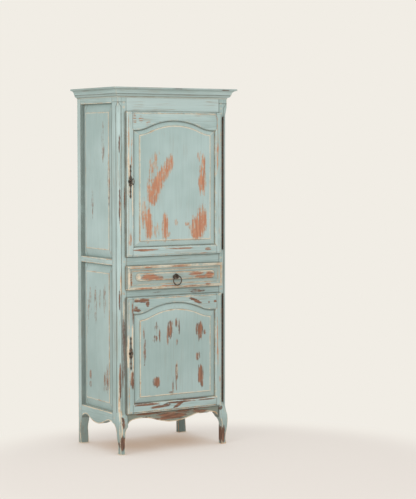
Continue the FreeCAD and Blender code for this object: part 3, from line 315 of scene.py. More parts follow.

# %% [markdown]
# The paint comes first. Where the fade is above zero it is paler, as painted light on boards
# that lie in shade, and below zero it is browner, partly as painted shade. Then the paint gets
# darker towards the floor. After that come the dragged glaze, the glaze in the grooves with a
# little painted shade in wider hollows, and the rubbed edges, which are rubbed most at the feet.

# %% Paint, darkening near the floor, glaze and rubbed edges
faded_and_lit_green, browned_and_shaded_green, dragged_glaze = tint(200, 216, 213), tint(126, 126, 108), tint(150, 136, 116)
foot_darkening, rising_darkening, rubbed_feet = (0.22, 0.02, 0.0, 0.5), (1.3, 0.3, 0.0, 0.12), (0.32, 0.1, 0.0, 0.4)
bench = Bench(paint_group, duck_egg)
(true_place, shift, stroke, streak, sanded, darkness, brushed, worn_edge, dark_lines, creamy,
 glaze_and_shade_amount, fade_and_painted_light) = list(into)[:12]
place = bench.vector("ADD", true_place, shift)
lines = cloudy_paint(bench, place, stroke, brushed)
# Painted light: above zero the paint is paler where a board lies in shade. Below zero it is browner, partly
# as painted shade.
bench.coat(bench.band(fade_and_painted_light, 0.0, 1.0), faded_and_lit_green)
bench.coat(bench.band(fade_and_painted_light, 0.0, -1.0), browned_and_shaded_green)
patchy = bench.noise(place, 11.0, 4.0, 0.6)
level = bench.step("SeparateXYZ", {0: true_place}).outputs["Z"]
# The paint is darker towards the floor, most at the feet.
darker_near_floor = bench.plus(bench.band(level, *foot_darkening), bench.band(level, *rising_darkening))
bench.coat(darker_near_floor, shaded_green)
dragged = dragged_lines(bench, place, stroke, brushed)
bench.coat(bench.times(dragged, 0.55), dragged_glaze)
glazed_and_shaded(bench, patchy, glaze_and_shade_amount)
low_down = bench.times(bench.band(level, *rubbed_feet), bench.band(worn_edge, 0.0, 0.2))
rubbed = rubbed_edges(bench, place, bench.plus(worn_edge, low_down))
ground = bench.blend(bench.band(patchy, 0.48, 0.62), cream_ground, ochre_ground)
ground = bench.blend(bench.band(patchy, 0.62, 0.72), ground, rusty_wood)
bench.coat(bench.times(rubbed, 0.88), ground)
dark_lines = bench.times(dark_lines, bench.band(patchy, 0.3, 0.6, 0.7, 1.0))
# The dark lines, in the glaze colour, are dark joints, lines of glaze and lines of painted shade.
bench.coat(dark_lines, glaze)
print(len(paint_group.nodes), "steps so far")

# %% [markdown]
# Then the ground and the wood show through. Stain creeps under the paint that is left
# round a bare place, so its rim gets dark specks, and the darker the wood the more of them.
# The paint is a skin with its own thickness, so bare places lie a little lower than it and
# are rougher.

# %% Cream, wood and the dark specks round it
stained_rim = tint(78, 60, 52)
ground_shows = bench.most(*sanded_through(bench, place, streak, creamy))
bench.coat(bench.times(ground_shows, 0.85), ground)
thin, gone = sanded_through(bench, place, streak, sanded)
wood = wood_colour(bench, place, stroke, darkness)
thin_ground = bench.blend(darkness, ochre_ground, wood)
bench.coat(bench.times(thin, 0.5), thin_ground)
bench.coat(bench.times(gone, 0.94), wood)
rim = bench.times(thin, bench.less(1.0, bench.times(gone, 0.75)))
specks = bench.band(bench.noise(bench.squeeze(place, streak), 1.3, 4.0, 0.66), 0.46, 0.54)
stained = bench.times(specks, bench.band(darkness, 0.0, 0.8, 0.2, 1.0))
bench.coat(bench.times(rim, stained), stained_rim)
bare = bench.most(gone, rubbed)
bench.feed(out["Colour"], bench.colour)
bench.feed(out["Roughness"], bench.band(bare, 0.0, 1.0, 0.52, 0.74))
bench.feed(out["Height"], bench.less(bench.times(lines, 0.35), bench.times(bare, 0.55)))
print(len(paint_group.nodes), "steps in the paint")

# %% [markdown]
# ## Places sanded through
# On each board the wood shows in a few long patches, along the grain, where hands and
# sandpaper went. A patch is an ellipse. A Mapping node moves it to the origin and makes it
# a unit circle, so that its strength falls with the distance. Patches lie on the front
# (x and z) or on a side (y and z).

# %% Places sanded through
patch_reach = 1.15
far_through = 9.0


def sanded_places(bench, place, patches, sideways):
    """The strength of the sanding: the most that any patch gives."""
    strengths = []
    for patch in patches:
        across, level, wide, tall = (length / 1000 for length in patch[:4])
        lean = math.radians(patch[5]) if len(patch) > 5 else 0
        centre = (0, across, level) if sideways else (across, 0, level)
        size = (far_through, wide, tall) if sideways else (wide, far_through, tall)
        turn = (lean, 0, 0) if sideways else (0, lean, 0)
        mapping = {"Vector": place, "Location": centre, "Rotation": turn, "Scale": size}
        spot = bench.step("Mapping", mapping, vector_type="TEXTURE").outputs[0]
        near = bench.math("SUBTRACT", patch_reach, bench.vector("LENGTH", spot), clamp=True)
        strengths.append(bench.times(bench.band(near, 0.0, 0.75), patch[4] / 100))
    return bench.most(*strengths) if strengths else 0.0


print("a patch ends at", patch_reach, "times its size")

# %% [markdown]
# Where two boards meet flush there is no edge to rub, only a fine dark joint. From inside
# one board it looks like an edge all the same, so each board has to say where its flush
# joints are. The brush also left lines of glaze that no groove explains, and faces that lie
# in shade get dark lines of painted shade. Joints and lines are found by the distance from a
# plane: an axis and a place on it, the same left and right, from one level to another. A line
# may lean, so that its place moves as it rises.

# %% Flush joints, lines of glaze and lines of painted shade
unrubbed_gap, dark_gap = (0.0085, 0.0065), (0.003, 0.0012)


def gap_to(bench, parts, axis, at):
    along = bench.math("ABSOLUTE", parts[0]) if axis == "x" else parts["xyz".index(axis)]
    return bench.math("ABSOLUTE", bench.less(along, at))


def between(bench, value, level, low, high):
    value = bench.times(value, bench.math("GREATER_THAN", level, low))
    return bench.times(value, bench.math("LESS_THAN", level, high))


def joints_and_lines(bench, place, joints, lines):
    """How far a point is free of joints, and how dark the lines of glaze and painted shade are there."""
    parts = bench.step("SeparateXYZ", {0: place}).outputs
    close, dark = [], []
    for axis, at, low, high in joints:
        gap = gap_to(bench, parts, axis, at)
        close.append(between(bench, bench.band(gap, *unrubbed_gap), parts[2], low, high))
        dark.append(between(bench, bench.band(gap, *dark_gap, 0.0, 0.55), parts[2], low, high))
    for axis, at, half, strength, low, high, lean in lines:
        if lean:
            at = bench.plus(at, bench.times(bench.less(parts[2], low), lean))
        line = bench.band(gap_to(bench, parts, axis, at), half * 1.4, half * 0.6, 0.0, strength)
        dark.append(between(bench, line, parts[2], low, high))
    free = bench.less(1.0, bench.most(*close)) if close else 1.0
    return free, bench.most(*dark) if dark else 0.0


print("unrubbed beside a joint:", unrubbed_gap[1], "m")

# %% [markdown]
# The posts meet the rails, and the stiles meet the rails of their door, except along the
# panel, where a stile has a real edge. The dark lines are glaze in the corner's quirks and on
# the cornice, glaze and painted shade beside the doors and the drawer, and painted shade on
# the rear posts and the side panels, where faces lie in the shade of the posts. They have a
# half width, a strength, two levels and a lean: over the corner's round, two leaning lines meet
# in a small pointed arch.

# %% Where the joints and lines are
above_all = 9
whole = (0, above_all)
post_joint, stile_joint, front_joint, back_joint = 0.2825, 0.2565, -0.127, 0.216
panel_spans = {"upper_": (1.069, 1.687), "lower_": (0.256, 0.737)}
at_post = ("x", post_joint, *whole)
at_front, at_back = ("y", front_joint, *whole), ("y", back_joint, *whole)
door_rails = [door + rail for door in ("upper_door_", "lower_door_") for rail in ("top_rail", "bottom_rail")]
door_stiles = [door + stile for door in panel_spans for stile in ("lock_stile", "hinge_stile")]
sides = ("left_", "right_")
side_rails = [side + rail for side in sides for rail in ("top_rail", "mid_rail", "apron")]
side_panels = [side + level + "panel" for side in sides for level in panel_spans]
front_rails = ["frieze_rail", "upper_mid_rail", "lower_mid_rail", "front_apron"]
front_posts, rear_posts = ([end + side + "post" for side in sides] for end in ("front_", "rear_"))
flush = {rail: [at_post] for rail in front_rails}
flush.update({rail: [("x", stile_joint, *whole)] for rail in door_rails})
flush.update({rail: [at_front, at_back] for rail in side_rails})
for stile in door_stiles:
    sill, arch_foot = panel_spans[stile[:6]]
    flush[stile] = [("x", stile_joint, arch_foot, above_all), ("x", stile_joint, 0, sill)]
flush.update({post: [at_post, at_front] for post in front_posts})
flush.update({post: [at_back] for post in rear_posts})
round_x, round_y, arch_low, arch_high = 0.3125, -0.169, 1.8, 1.826
quirks = [("x", round_x, 0.002, 0.8, 0.22, arch_low, 0), ("y", round_y, 0.0032, 0.8, 0.22, arch_low, 0),
          ("x", round_x, 0.0022, 0.8, arch_low, arch_high, 0.75),
          ("y", round_y, 0.0034, 0.8, arch_low, arch_high, -0.75)]
# Side panels: dark lines of painted shade where the panel sinks beside the posts, with some glaze along the
# field.
panel_glaze_and_shade_lines = [("y", at, half, strength, *whole, 0) for at, half, strength in
               ((-0.1, 0.006, 0.5), (0.1745, 0.003, 0.45), (-0.0855, 0.003, 0.45), (0.206, 0.006, 0.4))]
cornice_lines = [("z", 1.8645, 0.0034, 0.42, *whole, 0), ("z", 1.8945, 0.006, 0.28, *whole, 0)]
# Beside the doors and the drawer a dark line covers the edge face of the lip: glaze and painted shade.
beside_door, half_line = 0.29, 0.0014
glaze_and_shade_lines = {"upper_lock_stile": [("x", beside_door, half_line, 0.75, *whole, 0)],
               "lower_lock_stile": [("x", beside_door, half_line, 0.85, *whole, 0)],
               "drawer_front": [("x", 0.289, half_line, 0.4, *whole, 0)],
               "cornice_front": cornice_lines, "cornice_left": cornice_lines}
glaze_and_shade_lines.update({post: quirks for post in front_posts})
# On the rear posts the line darkens the whole edge face that faces the front: painted shade.
glaze_and_shade_lines.update({post: [("y", back_joint, 0.0015, 0.5, 0, 1.9, 0)] for post in rear_posts})
glaze_and_shade_lines.update({panel: panel_glaze_and_shade_lines for panel in side_panels})
print(len(flush), "boards with flush joints,", len(glaze_and_shade_lines), "with lines of glaze")

# %% [markdown]
# A painted board is the shared recipe plus what is its own: the direction of its grain, a
# shift that keeps its noise apart from its neighbours', its patches and its joints. All
# boards but the posts are sanded only on the half that faces out. Finishes begin and end
# alike, so two helpers open a new material and feed its surface.

# %% A painted board
grain_axis = {"upright": 2, "across": 0, "deep": 1}
shift_step = (0.37, 0.73, 0.21)
finishes = []


def drawn_out(grain, fine, coarse):
    """A scale that is fine across the grain and coarse along it, to draw noise out."""
    return [coarse if axis == grain_axis[grain] else fine for axis in range(3)]


def new_finish(name, specular):
    """A new material, its bench, its surface and the place of a point on the piece."""
    finish = bpy.data.materials.new(name)
    finish.use_nodes = True
    bench = Bench(finish.node_tree)
    surface = finish.node_tree.nodes["Principled BSDF"]
    surface.inputs["Specular IOR Level"].default_value = specular
    return finish, bench, surface, bench.step("TexCoord").outputs["Object"]


def dress(bench, surface, roughness, height, strength, distance):
    """Feeds a surface its coats, its roughness and the fine relief of its height."""
    relief = bench.step("Bump", {"Strength": strength, "Distance": distance, "Height": height})
    bench.feed(surface.inputs["Base Color"], bench.colour)
    bench.feed(surface.inputs["Roughness"], roughness)
    bench.feed(surface.inputs["Normal"], relief.outputs[0])


def on_side(name):
    return name.startswith(sides)


def outer_half(bench, place, name):
    """1 on the half of a board that faces out of the cupboard, else 0."""
    low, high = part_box(name)
    axis = 0 if on_side(name) else 1
    along = bench.step("SeparateXYZ", {0: place}).outputs[axis]
    side = "GREATER_THAN" if name.startswith("right_") else "LESS_THAN"
    return bench.math(side, along, (low[axis] + high[axis]) / 2)


def painted(name, grain, patches, worn, look):
    """A board's own finish: look holds the amounts that need no place or joint."""
    finish, bench, surface, place = new_finish("paint_" + name, 0.35)
    layers = bench.step("Group", node_tree=paint_group)
    free, lines = joints_and_lines(bench, place, flush.get(name, ()), glaze_and_shade_lines.get(name, ()))
    sanded = sanded_places(bench, place, patches, on_side(name))
    creamy = sanded_places(bench, place, creamy_places.get(name, ()), False)
    if patches and not name.endswith("post"):
        outer = outer_half(bench, place, name)
        sanded = bench.times(sanded, outer)
        creamy = bench.times(creamy, outer)
    settings = {"Place": place, "Shift": [step * len(finishes) for step in shift_step],
                "Stroke": drawn_out(grain, 190, 5), "Streak": drawn_out(grain, 150, 11),
                "Sanded": sanded, "Creamy": creamy, "Worn": bench.times(worn, free),
                "Lines": lines, **look}
    for socket, value in settings.items():
        bench.feed(layers.inputs[socket], value)
    bench.colour, roughness, height = layers.outputs
    dress(bench, surface, roughness, height, 0.6, 0.0007)
    finishes.append(finish)
    return finish


print("brush strokes along x:", drawn_out("across", 190, 5))

# %% [markdown]
# ## Where this cupboard is worn
# The wear is this cupboard's own history, so it is written down board by board: place,
# level, half width and half height in millimetres, the strength in percent, and the lean in
# degrees where there is one. The upper door is sanded in long orange strokes.

# %% Where the upper half is worn
worn = {
    "upper_door_panel": [(-43, 1500, 30, 65, 95, 20), (-79, 1448, 40, 72, 90, 28),
        (-112, 1396, 46, 70, 105, 28), (-137, 1338, 36, 56, 105, 15), (-131, 1494, 32, 80, 55, 5),
        (-153, 1385, 26, 75, 65, 5), (-164, 1200, 27, 102, 100), (-194, 1255, 18, 85, 75),
        (-161, 1143, 25, 40, 105), (-114, 1162, 22, 50, 65), (-62, 1185, 25, 88, 100),
        (-44, 1140, 16, 18, 75), (3, 1201, 14, 22, 65), (70, 1192, 18, 16, 60), (135, 1172, 52, 74, 115),
        (103, 1169, 30, 32, 80), (174, 1214, 24, 85, 90), (152, 1221, 22, 70, 90), (133, 1132, 40, 22, 110),
        (148, 1546, 14, 34, 65), (168, 1429, 24, 105, 90), (159, 1403, 22, 70, 100),
        (174, 1500, 14, 65, 75), (-101, 1565, 8, 18, 50)],
    "upper_door_top_rail": [(-246, 1734, 14, 34, 34), (-207, 1738, 16, 20, 34),
        (-164, 1717, 20, 14, 60, -30), (262, 1752, 14, 20, 50)],
    "cornice_front": [(-240, 1868, 36, 3, 130), (120, 1866, 60, 3, 90), (300, 1893, 40, 3, 100),
        (20, 1895, 90, 2, 70)],
    "upper_door_bottom_rail": [(-185, 1061, 90, 7, 110), (200, 1056, 24, 10, 110), (31, 1063, 110, 5, 90),
        (150, 1034, 80, 3, 60)],
    "upper_lock_stile": [(-273, 1117, 10, 45, 75), (-262, 1560, 6, 100, 40)],
    "upper_hinge_stile": [(262, 1580, 7, 190, 70), (270, 1180, 6, 60, 45)],
    "drawer_front": [(-170, 971, 26, 6, 95), (200, 871, 18, 6, 85), (-53, 871, 60, 5, 80),
        (-268, 909, 8, 42, 75), (-156, 919, 58, 21, 115), (-105, 914, 34, 16, 100), (129, 928, 62, 13, 115),
        (207, 918, 36, 22, 130), (161, 911, 48, 14, 90), (40, 972, 120, 5, 60), (-190, 863, 80, 5, 80),
        (120, 864, 110, 5, 70)],
}
print(sum(len(v) for v in worn.values()), "places on the upper half")

# %% [markdown]
# In a few places the sanding stopped at the cream ground under the green: along the lock
# side of the doors, where hands went, and down the left front post. The same kind of list
# holds them, and the recipe stops at cream there.

# %% Where the cream ground shows
creamy_places = {
    "drawer_front": [(-222, 921.7, 13, 14, 110), (-281, 915, 4, 45, 90)],
    "lower_door_panel": [(6, 415, 6, 65, 100)],
    "lower_lock_stile": [(-266, 400, 7, 45, 100), (-262, 620, 6, 80, 80), (-284, 540, 6, 110, 100),
        (-257, 480, 5, 60, 80)],
    "upper_lock_stile": [(-279, 1500, 5, 220, 70), (-258, 1300, 5, 160, 70)],
    "front_left_post": [(-318, 130, 6, 110, 100), (-300, 760, 5, 90, 70), (-325, 300, 5, 160, 90),
        (-317, 900, 4, 100, 80), (-317, 1200, 4, 140, 70)],
}
print(sum(len(v) for v in creamy_places.values()), "places of cream")

# %% [markdown]
# Below the drawer the wood is older and browner, and its bare places are short and broad.
# Feet, broom and floor wore the apron and the feet. The sides have only a few streaks.

# %% Where the lower half is worn
worn.update({
    "lower_mid_rail": [(142, 836, 60, 12, 50), (-120, 842, 50, 8, 40)],
    "lower_door_top_rail": [(-196, 799, 36, 12, 140), (-235, 800, 22, 10, 120), (-170, 785, 12, 20, 110),
        (-242, 757, 16, 18, 100), (-226, 750, 18, 11, 100), (122, 786, 46, 10, 130, 25),
        (96, 798, 18, 6, 80), (246, 775, 10, 10, 80), (207, 772, 6, 10, 60)],
    "lower_lock_stile": [(-258, 735, 8, 75, 90), (-262, 385, 13, 55, 100)],
    "lower_hinge_stile": [(278, 356, 7, 20, 60), (262, 560, 6, 180, 60)],
    "lower_door_panel": [(-36, 640, 19, 55, 110, 5), (-47, 597, 9, 42, 80), (-20, 652, 12, 40, 80),
        (4, 680, 9, 34, 75), (9, 571, 6, 22, 50), (-114, 652, 15, 36, 55), (-126, 597, 17, 22, 50),
        (148, 622, 22, 58, 115), (133, 636, 13, 40, 90), (181, 616, 10, 17, 75), (-190, 530, 10, 80, 75),
        (-186, 573, 8, 30, 60), (142, 488, 24, 26, 50), (-118, 369, 24, 32, 120), (5, 410, 9, 70, 80),
        (3, 362, 7, 50, 65), (-18, 349, 6, 55, 50), (-196, 620, 8, 40, 70), (-100, 610, 12, 40, 60),
        (20, 655, 8, 50, 60), (154, 393, 22, 56, 115), (161, 343, 11, 26, 75), (-34, 308, 16, 7, 80)],
    "lower_door_bottom_rail": [(-200, 262, 70, 3, 100), (100, 262, 120, 3, 90), (-99, 238, 60, 9, 110),
        (-60, 242, 36, 9, 110), (-125, 231, 34, 7, 80), (18, 240, 36, 10, 120, -25),
        (-170, 254, 90, 6, 140), (30, 253, 100, 5, 120), (190, 253, 60, 4, 80)],
    "front_apron": [(-8, 180, 110, 24, 110), (34, 193, 90, 14, 90), (-150, 204, 120, 9, 90),
        (130, 205, 100, 7, 70), (-150, 176, 80, 14, 60), (150, 190, 80, 12, 60)],
    "front_left_post": [(-312, 60, 16, 46, 160), (-309, 168, 13, 34, 110), (-321, 380, 5, 130, 130),
        (-304, 600, 5, 140, 100), (-306, 450, 4, 100, 90), (-321, 1310, 5, 120, 110),
        (-322, 1620, 4, 60, 100), (-295, 1330, 4, 80, 90), (-322, 800, 5, 80, 90), (-296, 550, 4, 180, 80)],
    "front_right_post": [(252, 167, 12, 20, 100), (293, 195, 14, 12, 90), (304, 55, 18, 50, 140),
        (296, 330, 6, 60, 90)],
    "left_upper_panel": [(-20, 1620, 20, 120, 28), (100, 1300, 16, 100, 25), (-80, 1420, 12, 160, 28)],
    "left_lower_panel": [(-60, 385, 26, 80, 50), (-30, 360, 16, 60, 40), (126, 385, 20, 30, 55),
        (126, 335, 16, 20, 50), (126, 780, 20, 90, 30), (65, 760, 18, 110, 32), (20, 800, 14, 60, 26),
        (-33, 790, 18, 100, 30), (150, 690, 12, 120, 26)],
    "right_upper_panel": [(40, 1500, 18, 140, 40), (-60, 1220, 14, 100, 40)],
    "right_lower_panel": [(20, 560, 16, 100, 50), (110, 360, 20, 40, 50)],
})
print(sum(len(v) for v in worn.values()), "places in all")

# %% [markdown]
# ## Bare wood
# Inside and behind, the cupboard was never painted. Sawn oak is pale with darker year rings,
# which look like long bands on a board. Noise that is drawn out along the grain gives them,
# a finer noise gives the pores, and old dust dulls it all. Corners get painted shade.

# %% Bare wood
early_wood, late_wood, pore_brown = tint(188, 152, 112), tint(140, 100, 66), tint(92, 64, 42)
old_dust, corner_shade_brown = tint(150, 134, 114), tint(66, 50, 38)


def bare_wood(grain):
    """Unpainted old oak with its grain along the board."""
    finish, bench, surface, place = new_finish("oak_" + grain, 0.25)
    along = bench.squeeze(place, drawn_out(grain, 22, 1.2))
    rings = bench.noise(along, 1.6, 5.0, 0.6)
    pores = bench.noise(bench.squeeze(along, (14, 14, 14)), 1.0, 3.0, 0.7)
    dust = bench.noise(place, 3.0, 3.0, 0.6)
    bench.colour = bench.blend(bench.band(rings, 0.32, 0.68), early_wood, late_wood)
    bench.coat(bench.band(pores, 0.55, 0.75, 0.0, 0.6), pore_brown)
    bench.coat(bench.band(dust, 0.45, 0.8, 0.0, 0.5), old_dust)
    # Painted shade: corners within 3 cm are darkened.
    bench.coat(bench.band(bench.shut_in(0.03), 0.1, 0.6, 0.0, 0.6), corner_shade_brown)
    height = bench.plus(bench.times(rings, 0.5), bench.times(pores, -0.5))
    dress(bench, surface, bench.band(pores, 0.3, 0.7, 0.72, 0.88), height, 0.5, 0.0008)
    return finish


oak = {grain: bare_wood(grain) for grain in grain_axis}
print(sorted(oak))

# %% [markdown]
# ## Softened boards
# No real board has a razor edge: a plane and years of hands take them off. The CAD mesh is
# loose triangles, so a copy is merged and its flat faces are joined again. Mouldings with
# only two flats get more. The copy stands for the CAD piece and rides on the same body.

# %% A clean copy of a board
def body_named(node):
    return next(b for b, members in frame["record"]["behaviour"]["bodies"].items() if node in members)


def merged_copy(node):
    """The CAD piece's mesh as a clean bmesh with joined flat faces."""
    shape = bmesh.new()
    shape.from_mesh(frame["nodes"][node].data)
    bmesh.ops.remove_doubles(shape, verts=shape.verts, dist=0.00002)
    bmesh.ops.dissolve_limit(shape, angle_limit=math.radians(0.5), verts=shape.verts,
                             edges=shape.edges, use_dissolve_boundaries=False)
    return shape


def rounded_flats(shape, width):
    """Rounds the middle edge of every moulding that is made of two flats."""
    middle = [e for e in shape.edges if len(e.link_faces) == 2
              and 40 < math.degrees(e.calc_face_angle_signed()) < 50]
    bmesh.ops.bevel(shape, geom=middle, offset=width, segments=3, profile=0.5, affect="EDGES",
                    clamp_overlap=True, material=-1)


def shown(name, shape, finish):
    """A bmesh as an object in the scene, with its finish."""
    mesh = bpy.data.meshes.new(name)
    shape.to_mesh(mesh)
    shape.free()
    mesh.materials.append(finish)
    return in_scene(name, mesh)


def placed(name, shape, finish, body, replaced=()):
    """A finished bmesh as a piece that rides on a body."""
    piece = shown(name, shape, finish)
    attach(piece, body)
    if replaced:
        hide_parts(*replaced)
    return piece


# %% [markdown]
# A Bevel modifier rounds every edge that is sharper than 20 degrees by less than a
# millimetre. Its hardened normals and the flat shading of all wide faces keep the flats
# looking flat. The faces are marked last, because marking the sharp edges resets them.

# %% Softened boards
soft_angle, wide_face = 20, 0.008


def shaded(piece, degrees=soft_angle):
    """Smooth over gentle turns, sharp over edges, and truly flat on the wide faces."""
    piece.data.set_sharp_from_angle(angle=math.radians(degrees))
    faces = piece.data.polygons
    faces.foreach_set("use_smooth", [face.area < wide_face for face in faces])


def eased(piece, width):
    edge = piece.modifiers.new("eased_edges", "BEVEL")
    edge.width = width
    edge.segments = 2
    edge.limit_method = "ANGLE"
    edge.angle_limit = math.radians(soft_angle)
    edge.use_clamp_overlap = True
    edge.harden_normals = True


def softened(node, finish, width=0.0007, moulding=0.0):
    shape = merged_copy(node)
    if moulding:
        rounded_flats(shape, moulding)
    piece = placed(node + "_soft", shape, finish, body_named(node), [node])
    shaded(piece)
    eased(piece, width)
    return piece


print("edges over", soft_angle, "degrees are rounded")

# %% [markdown]
# Every painted board gets its own finish, because its grain and its sanded places are its
# own. Rails run across, posts, stiles and panels upright, and side rails from front to back.
# Frames carry more brush lines than panels, and the edges of panels, drawer and apron are
# rubbed the most. Glaze, and the painted shade of wider hollows, stay most on the front and
# hardly at all behind. Some boards are painted paler, as painted light, and some browner,
# partly as painted shade.

# %% Paint the front and the sides
grain_of = {
    "across": [*front_rails, "cornice_front", *door_rails, "drawer_front"],
    "deep": [*side_rails, "cornice_left", "cornice_right", "top_board"],
    "upright": [*front_posts, *rear_posts, *door_stiles, "upper_door_panel", "lower_door_panel",
                *side_panels, "joint_pegs"],
}
dark_where = {"lower_door_panel": 0.68, "lower_door_top_rail": 0.85, "lower_door_bottom_rail": 0.85,
              "drawer_front": 0.42, "upper_door_bottom_rail": 0.5, "lower_mid_rail": 0.7,
              "lower_lock_stile": 0.8, "front_left_post": 1.0, "front_right_post": 1.0,
              "front_apron": 0.75, "cornice_front": 1.0, "upper_door_top_rail": 0.35,
              "left_upper_panel": 0.62, "left_lower_panel": 0.62}
# Above zero a board is painted paler, as painted light on the shaded frieze, cornice and rear left post.
# Below zero it is browner on drawer and apron, and on the rear right post this is painted shade.
fade_and_painted_light_where = {"frieze_rail": 0.5, "cornice_front": 0.3, "drawer_front": -0.38, "front_apron": -0.7,
               "rear_left_post": 0.3, "rear_right_post": -0.3}
door_moulding, drawer_moulding = 0.0018, 0.0009


def edge_wear(node):
    """How much the arrises of a board are rubbed."""
    if node.startswith("cornice") or node in ("top_board", "joint_pegs"):
        return 0.08
    if node.endswith("post"):
        return 0.4
    return 1.2 if node.endswith("panel") or node in ("drawer_front", "front_apron") else 0.85


def glaze_and_shade_left(node):
    """How much glaze stays in the grooves of a board, and how much painted shade its hollows get."""
    if node.startswith("rear_"):
        return 0.05
    return 0.3 if on_side(node) else 0.7


def finish_of(node, grain):
    look = {"Darkness": dark_where.get(node, 0.15), "Brushed": 0.25 if node.endswith("panel") else 0.95,
            "Glazing": glaze_and_shade_left(node), "Faded": fade_and_painted_light_where.get(node, 0.0)}
    return painted(node, grain, worn.get(node, ()), edge_wear(node), look)


for grain, nodes in grain_of.items():
    for node in nodes:
        moulding = door_moulding if node in door_rails + door_stiles else 0.0
        moulding = drawer_moulding if node == "drawer_front" else moulding
        softened(node, finish_of(node, grain), moulding=moulding)
print(len(finishes), "painted boards")

# %% [markdown]
# The boards inside and behind stay bare. They are softened in the same way.

# %% Leave the inside bare
bare_boards = {
    "across": ["back_top_rail", "back_bottom_rail", "drawer_back", "shelves", "upper_floor",
               "bottom_board", "drawer_bottom"],
    "upright": ["back_boards"],
    "deep": ["drawer_runners", "drawer_kickers", "shelf_cleats", "drawer_left_side",
             "drawer_right_side"],
}
for grain, nodes in bare_boards.items():
    for node in nodes:
        softened(node, oak[grain])
print(sum(len(v) for v in bare_boards.values()), "bare boards")

# %% [markdown]
# ## Old iron
# Hinges, plates, key and ring are forged iron, blackened and then slowly rusted. The
# colour goes from near black to brown in small clouds, and the edges are rubbed a little
# brighter. The rust is rougher than the iron.

# %% Old iron
def old_iron(name, dark, brown, rubbed_colour):
    """Forged iron: rust in clouds, pits, and edges rubbed bright."""
    finish, bench, surface, place = new_finish(name, 0.5)
    surface.inputs["Metallic"].default_value = 0.6
    clouds = bench.noise(place, 90.0, 4.0, 0.65)
    pits = bench.noise(place, 700.0, 3.0, 0.7)
    bench.colour = bench.blend(bench.band(clouds, 0.42, 0.68), dark, brown)
    edge = bench.band(bench.shut_in(0.0025, inside=True), 0.3, 0.5)
    rubbed = bench.times(edge, bench.band(clouds, 0.4, 0.6))
    bench.coat(bench.times(rubbed, 0.5), rubbed_colour)
    dress(bench, surface, bench.band(clouds, 0.35, 0.7, 0.42, 0.72), pits, 0.5, 0.0004)
    return finish


iron = old_iron("old_iron", tint(66, 60, 54), tint(112, 84, 66), tint(150, 142, 130))
lock_iron = old_iron("lock_iron", tint(84, 80, 76), tint(118, 96, 80), tint(160, 154, 146))
for node in ("upper_lock_case", "lower_lock_case", "upper_bolt", "lower_bolt"):
    softened(node, lock_iron, 0.0005)
print("iron:", iron.name, lock_iron.name)

# %% [markdown]
# ## Turned and forged work
# Pins, tubes, collars and balls were turned or forged round. They could be put together
# from cylinders and spheres, but a profile spun round its axis makes each in one skin.

# %% Turned work
pivots = {j["name"]: j.get("pos_m") for j in frame["record"]["behaviour"]["joints"]}


def spun(shape, line, centre, axis, steps):
    bmesh.ops.spin(shape, geom=line, cent=centre, axis=axis, angle=math.tau, steps=steps, use_merge=True)


def turned(shape, profile, centre, axis, steps=24):
    """A profile of (radius, distance along) spots, spun round an axis."""
    centre, axis = Vector(centre), Vector(axis)
    out = axis.orthogonal().normalized()
    spots = [shape.verts.new(centre + out * radius + axis * far) for radius, far in profile]
    line = [shape.edges.new(pair) for pair in zip(spots, spots[1:])]
    spun(shape, spots + line, centre, axis, steps)


def arc(wide, tall, degrees, count, start=0, foot=0.0):
    """Spots along an oval, for the profile of a dome or a ball."""
    turns = [math.radians(start + degrees * turn) for turn in range(count)]
    return [(wide * math.cos(turn), foot + tall * math.sin(turn)) for turn in turns]


def block(shape, low, high):
    """A plain bar between two corners."""
    low, high = Vector(low), Vector(high)
    size = high - low
    place = Matrix.Translation((low + high) / 2) @ Matrix.Diagonal((*size, 1))
    bmesh.ops.create_cube(shape, size=1, matrix=place)


def closed(shape):
    """Merged seams and poles, with every face pointing outwards."""
    bmesh.ops.remove_doubles(shape, verts=shape.verts, dist=0.000002)
    bmesh.ops.recalc_face_normals(shape, faces=shape.faces)
    return shape


def ironwork(name, shape, body, replaced, degrees=35, width=0.0002):
    piece = placed(name, closed(shape), iron, body, replaced)
    shaded(piece, degrees)
    eased(piece, width)
    return piece


print("pivots:", {name: at for name, at in pivots.items() if at})

# %% [markdown]
# ## The long hinges
# Each door turns on a slender forged tube that is nearly as tall as the door. The tube is
# rolled from the door's leaf, and the post carries a long knuckle at one end and a short
# one at the other, with the pin through all three and a turned ball at each end.

# %% The long hinges
tube_radius, ring_lip, ring_tall = 0.0044, 0.0008, 0.0024
ball_radius, ball_middle, ball_height = 0.005, 0.0088, 0.017
knuckle_gap, leaf = 0.0004, 0.0025


def knuckle(shape, centre, low, high):
    """A tube with a small ring at each end."""
    rim, span = tube_radius + ring_lip, high - low
    foot = [(0, 0), (rim, 0), (rim, ring_tall), (tube_radius, ring_tall + ring_lip)]
    head = [(radius, span - far) for radius, far in reversed(foot)]
    turned(shape, foot + head, (centre[0], centre[1], low), (0, 0, 1))


def ball_end(shape, centre, level, up):
    """A collar, a waist, a ball and a tip."""
    ball = arc(ball_radius, ball_radius, 18, 8, start=-60, foot=ball_middle)
    turned(shape, [(0, 0), (ball_radius, 0), (ball_radius, 0.0015), (0.0026, 0.003), *ball,
                   (0.0014, 0.015), (0, ball_height)], (centre[0], centre[1], level), (0, 0, up))


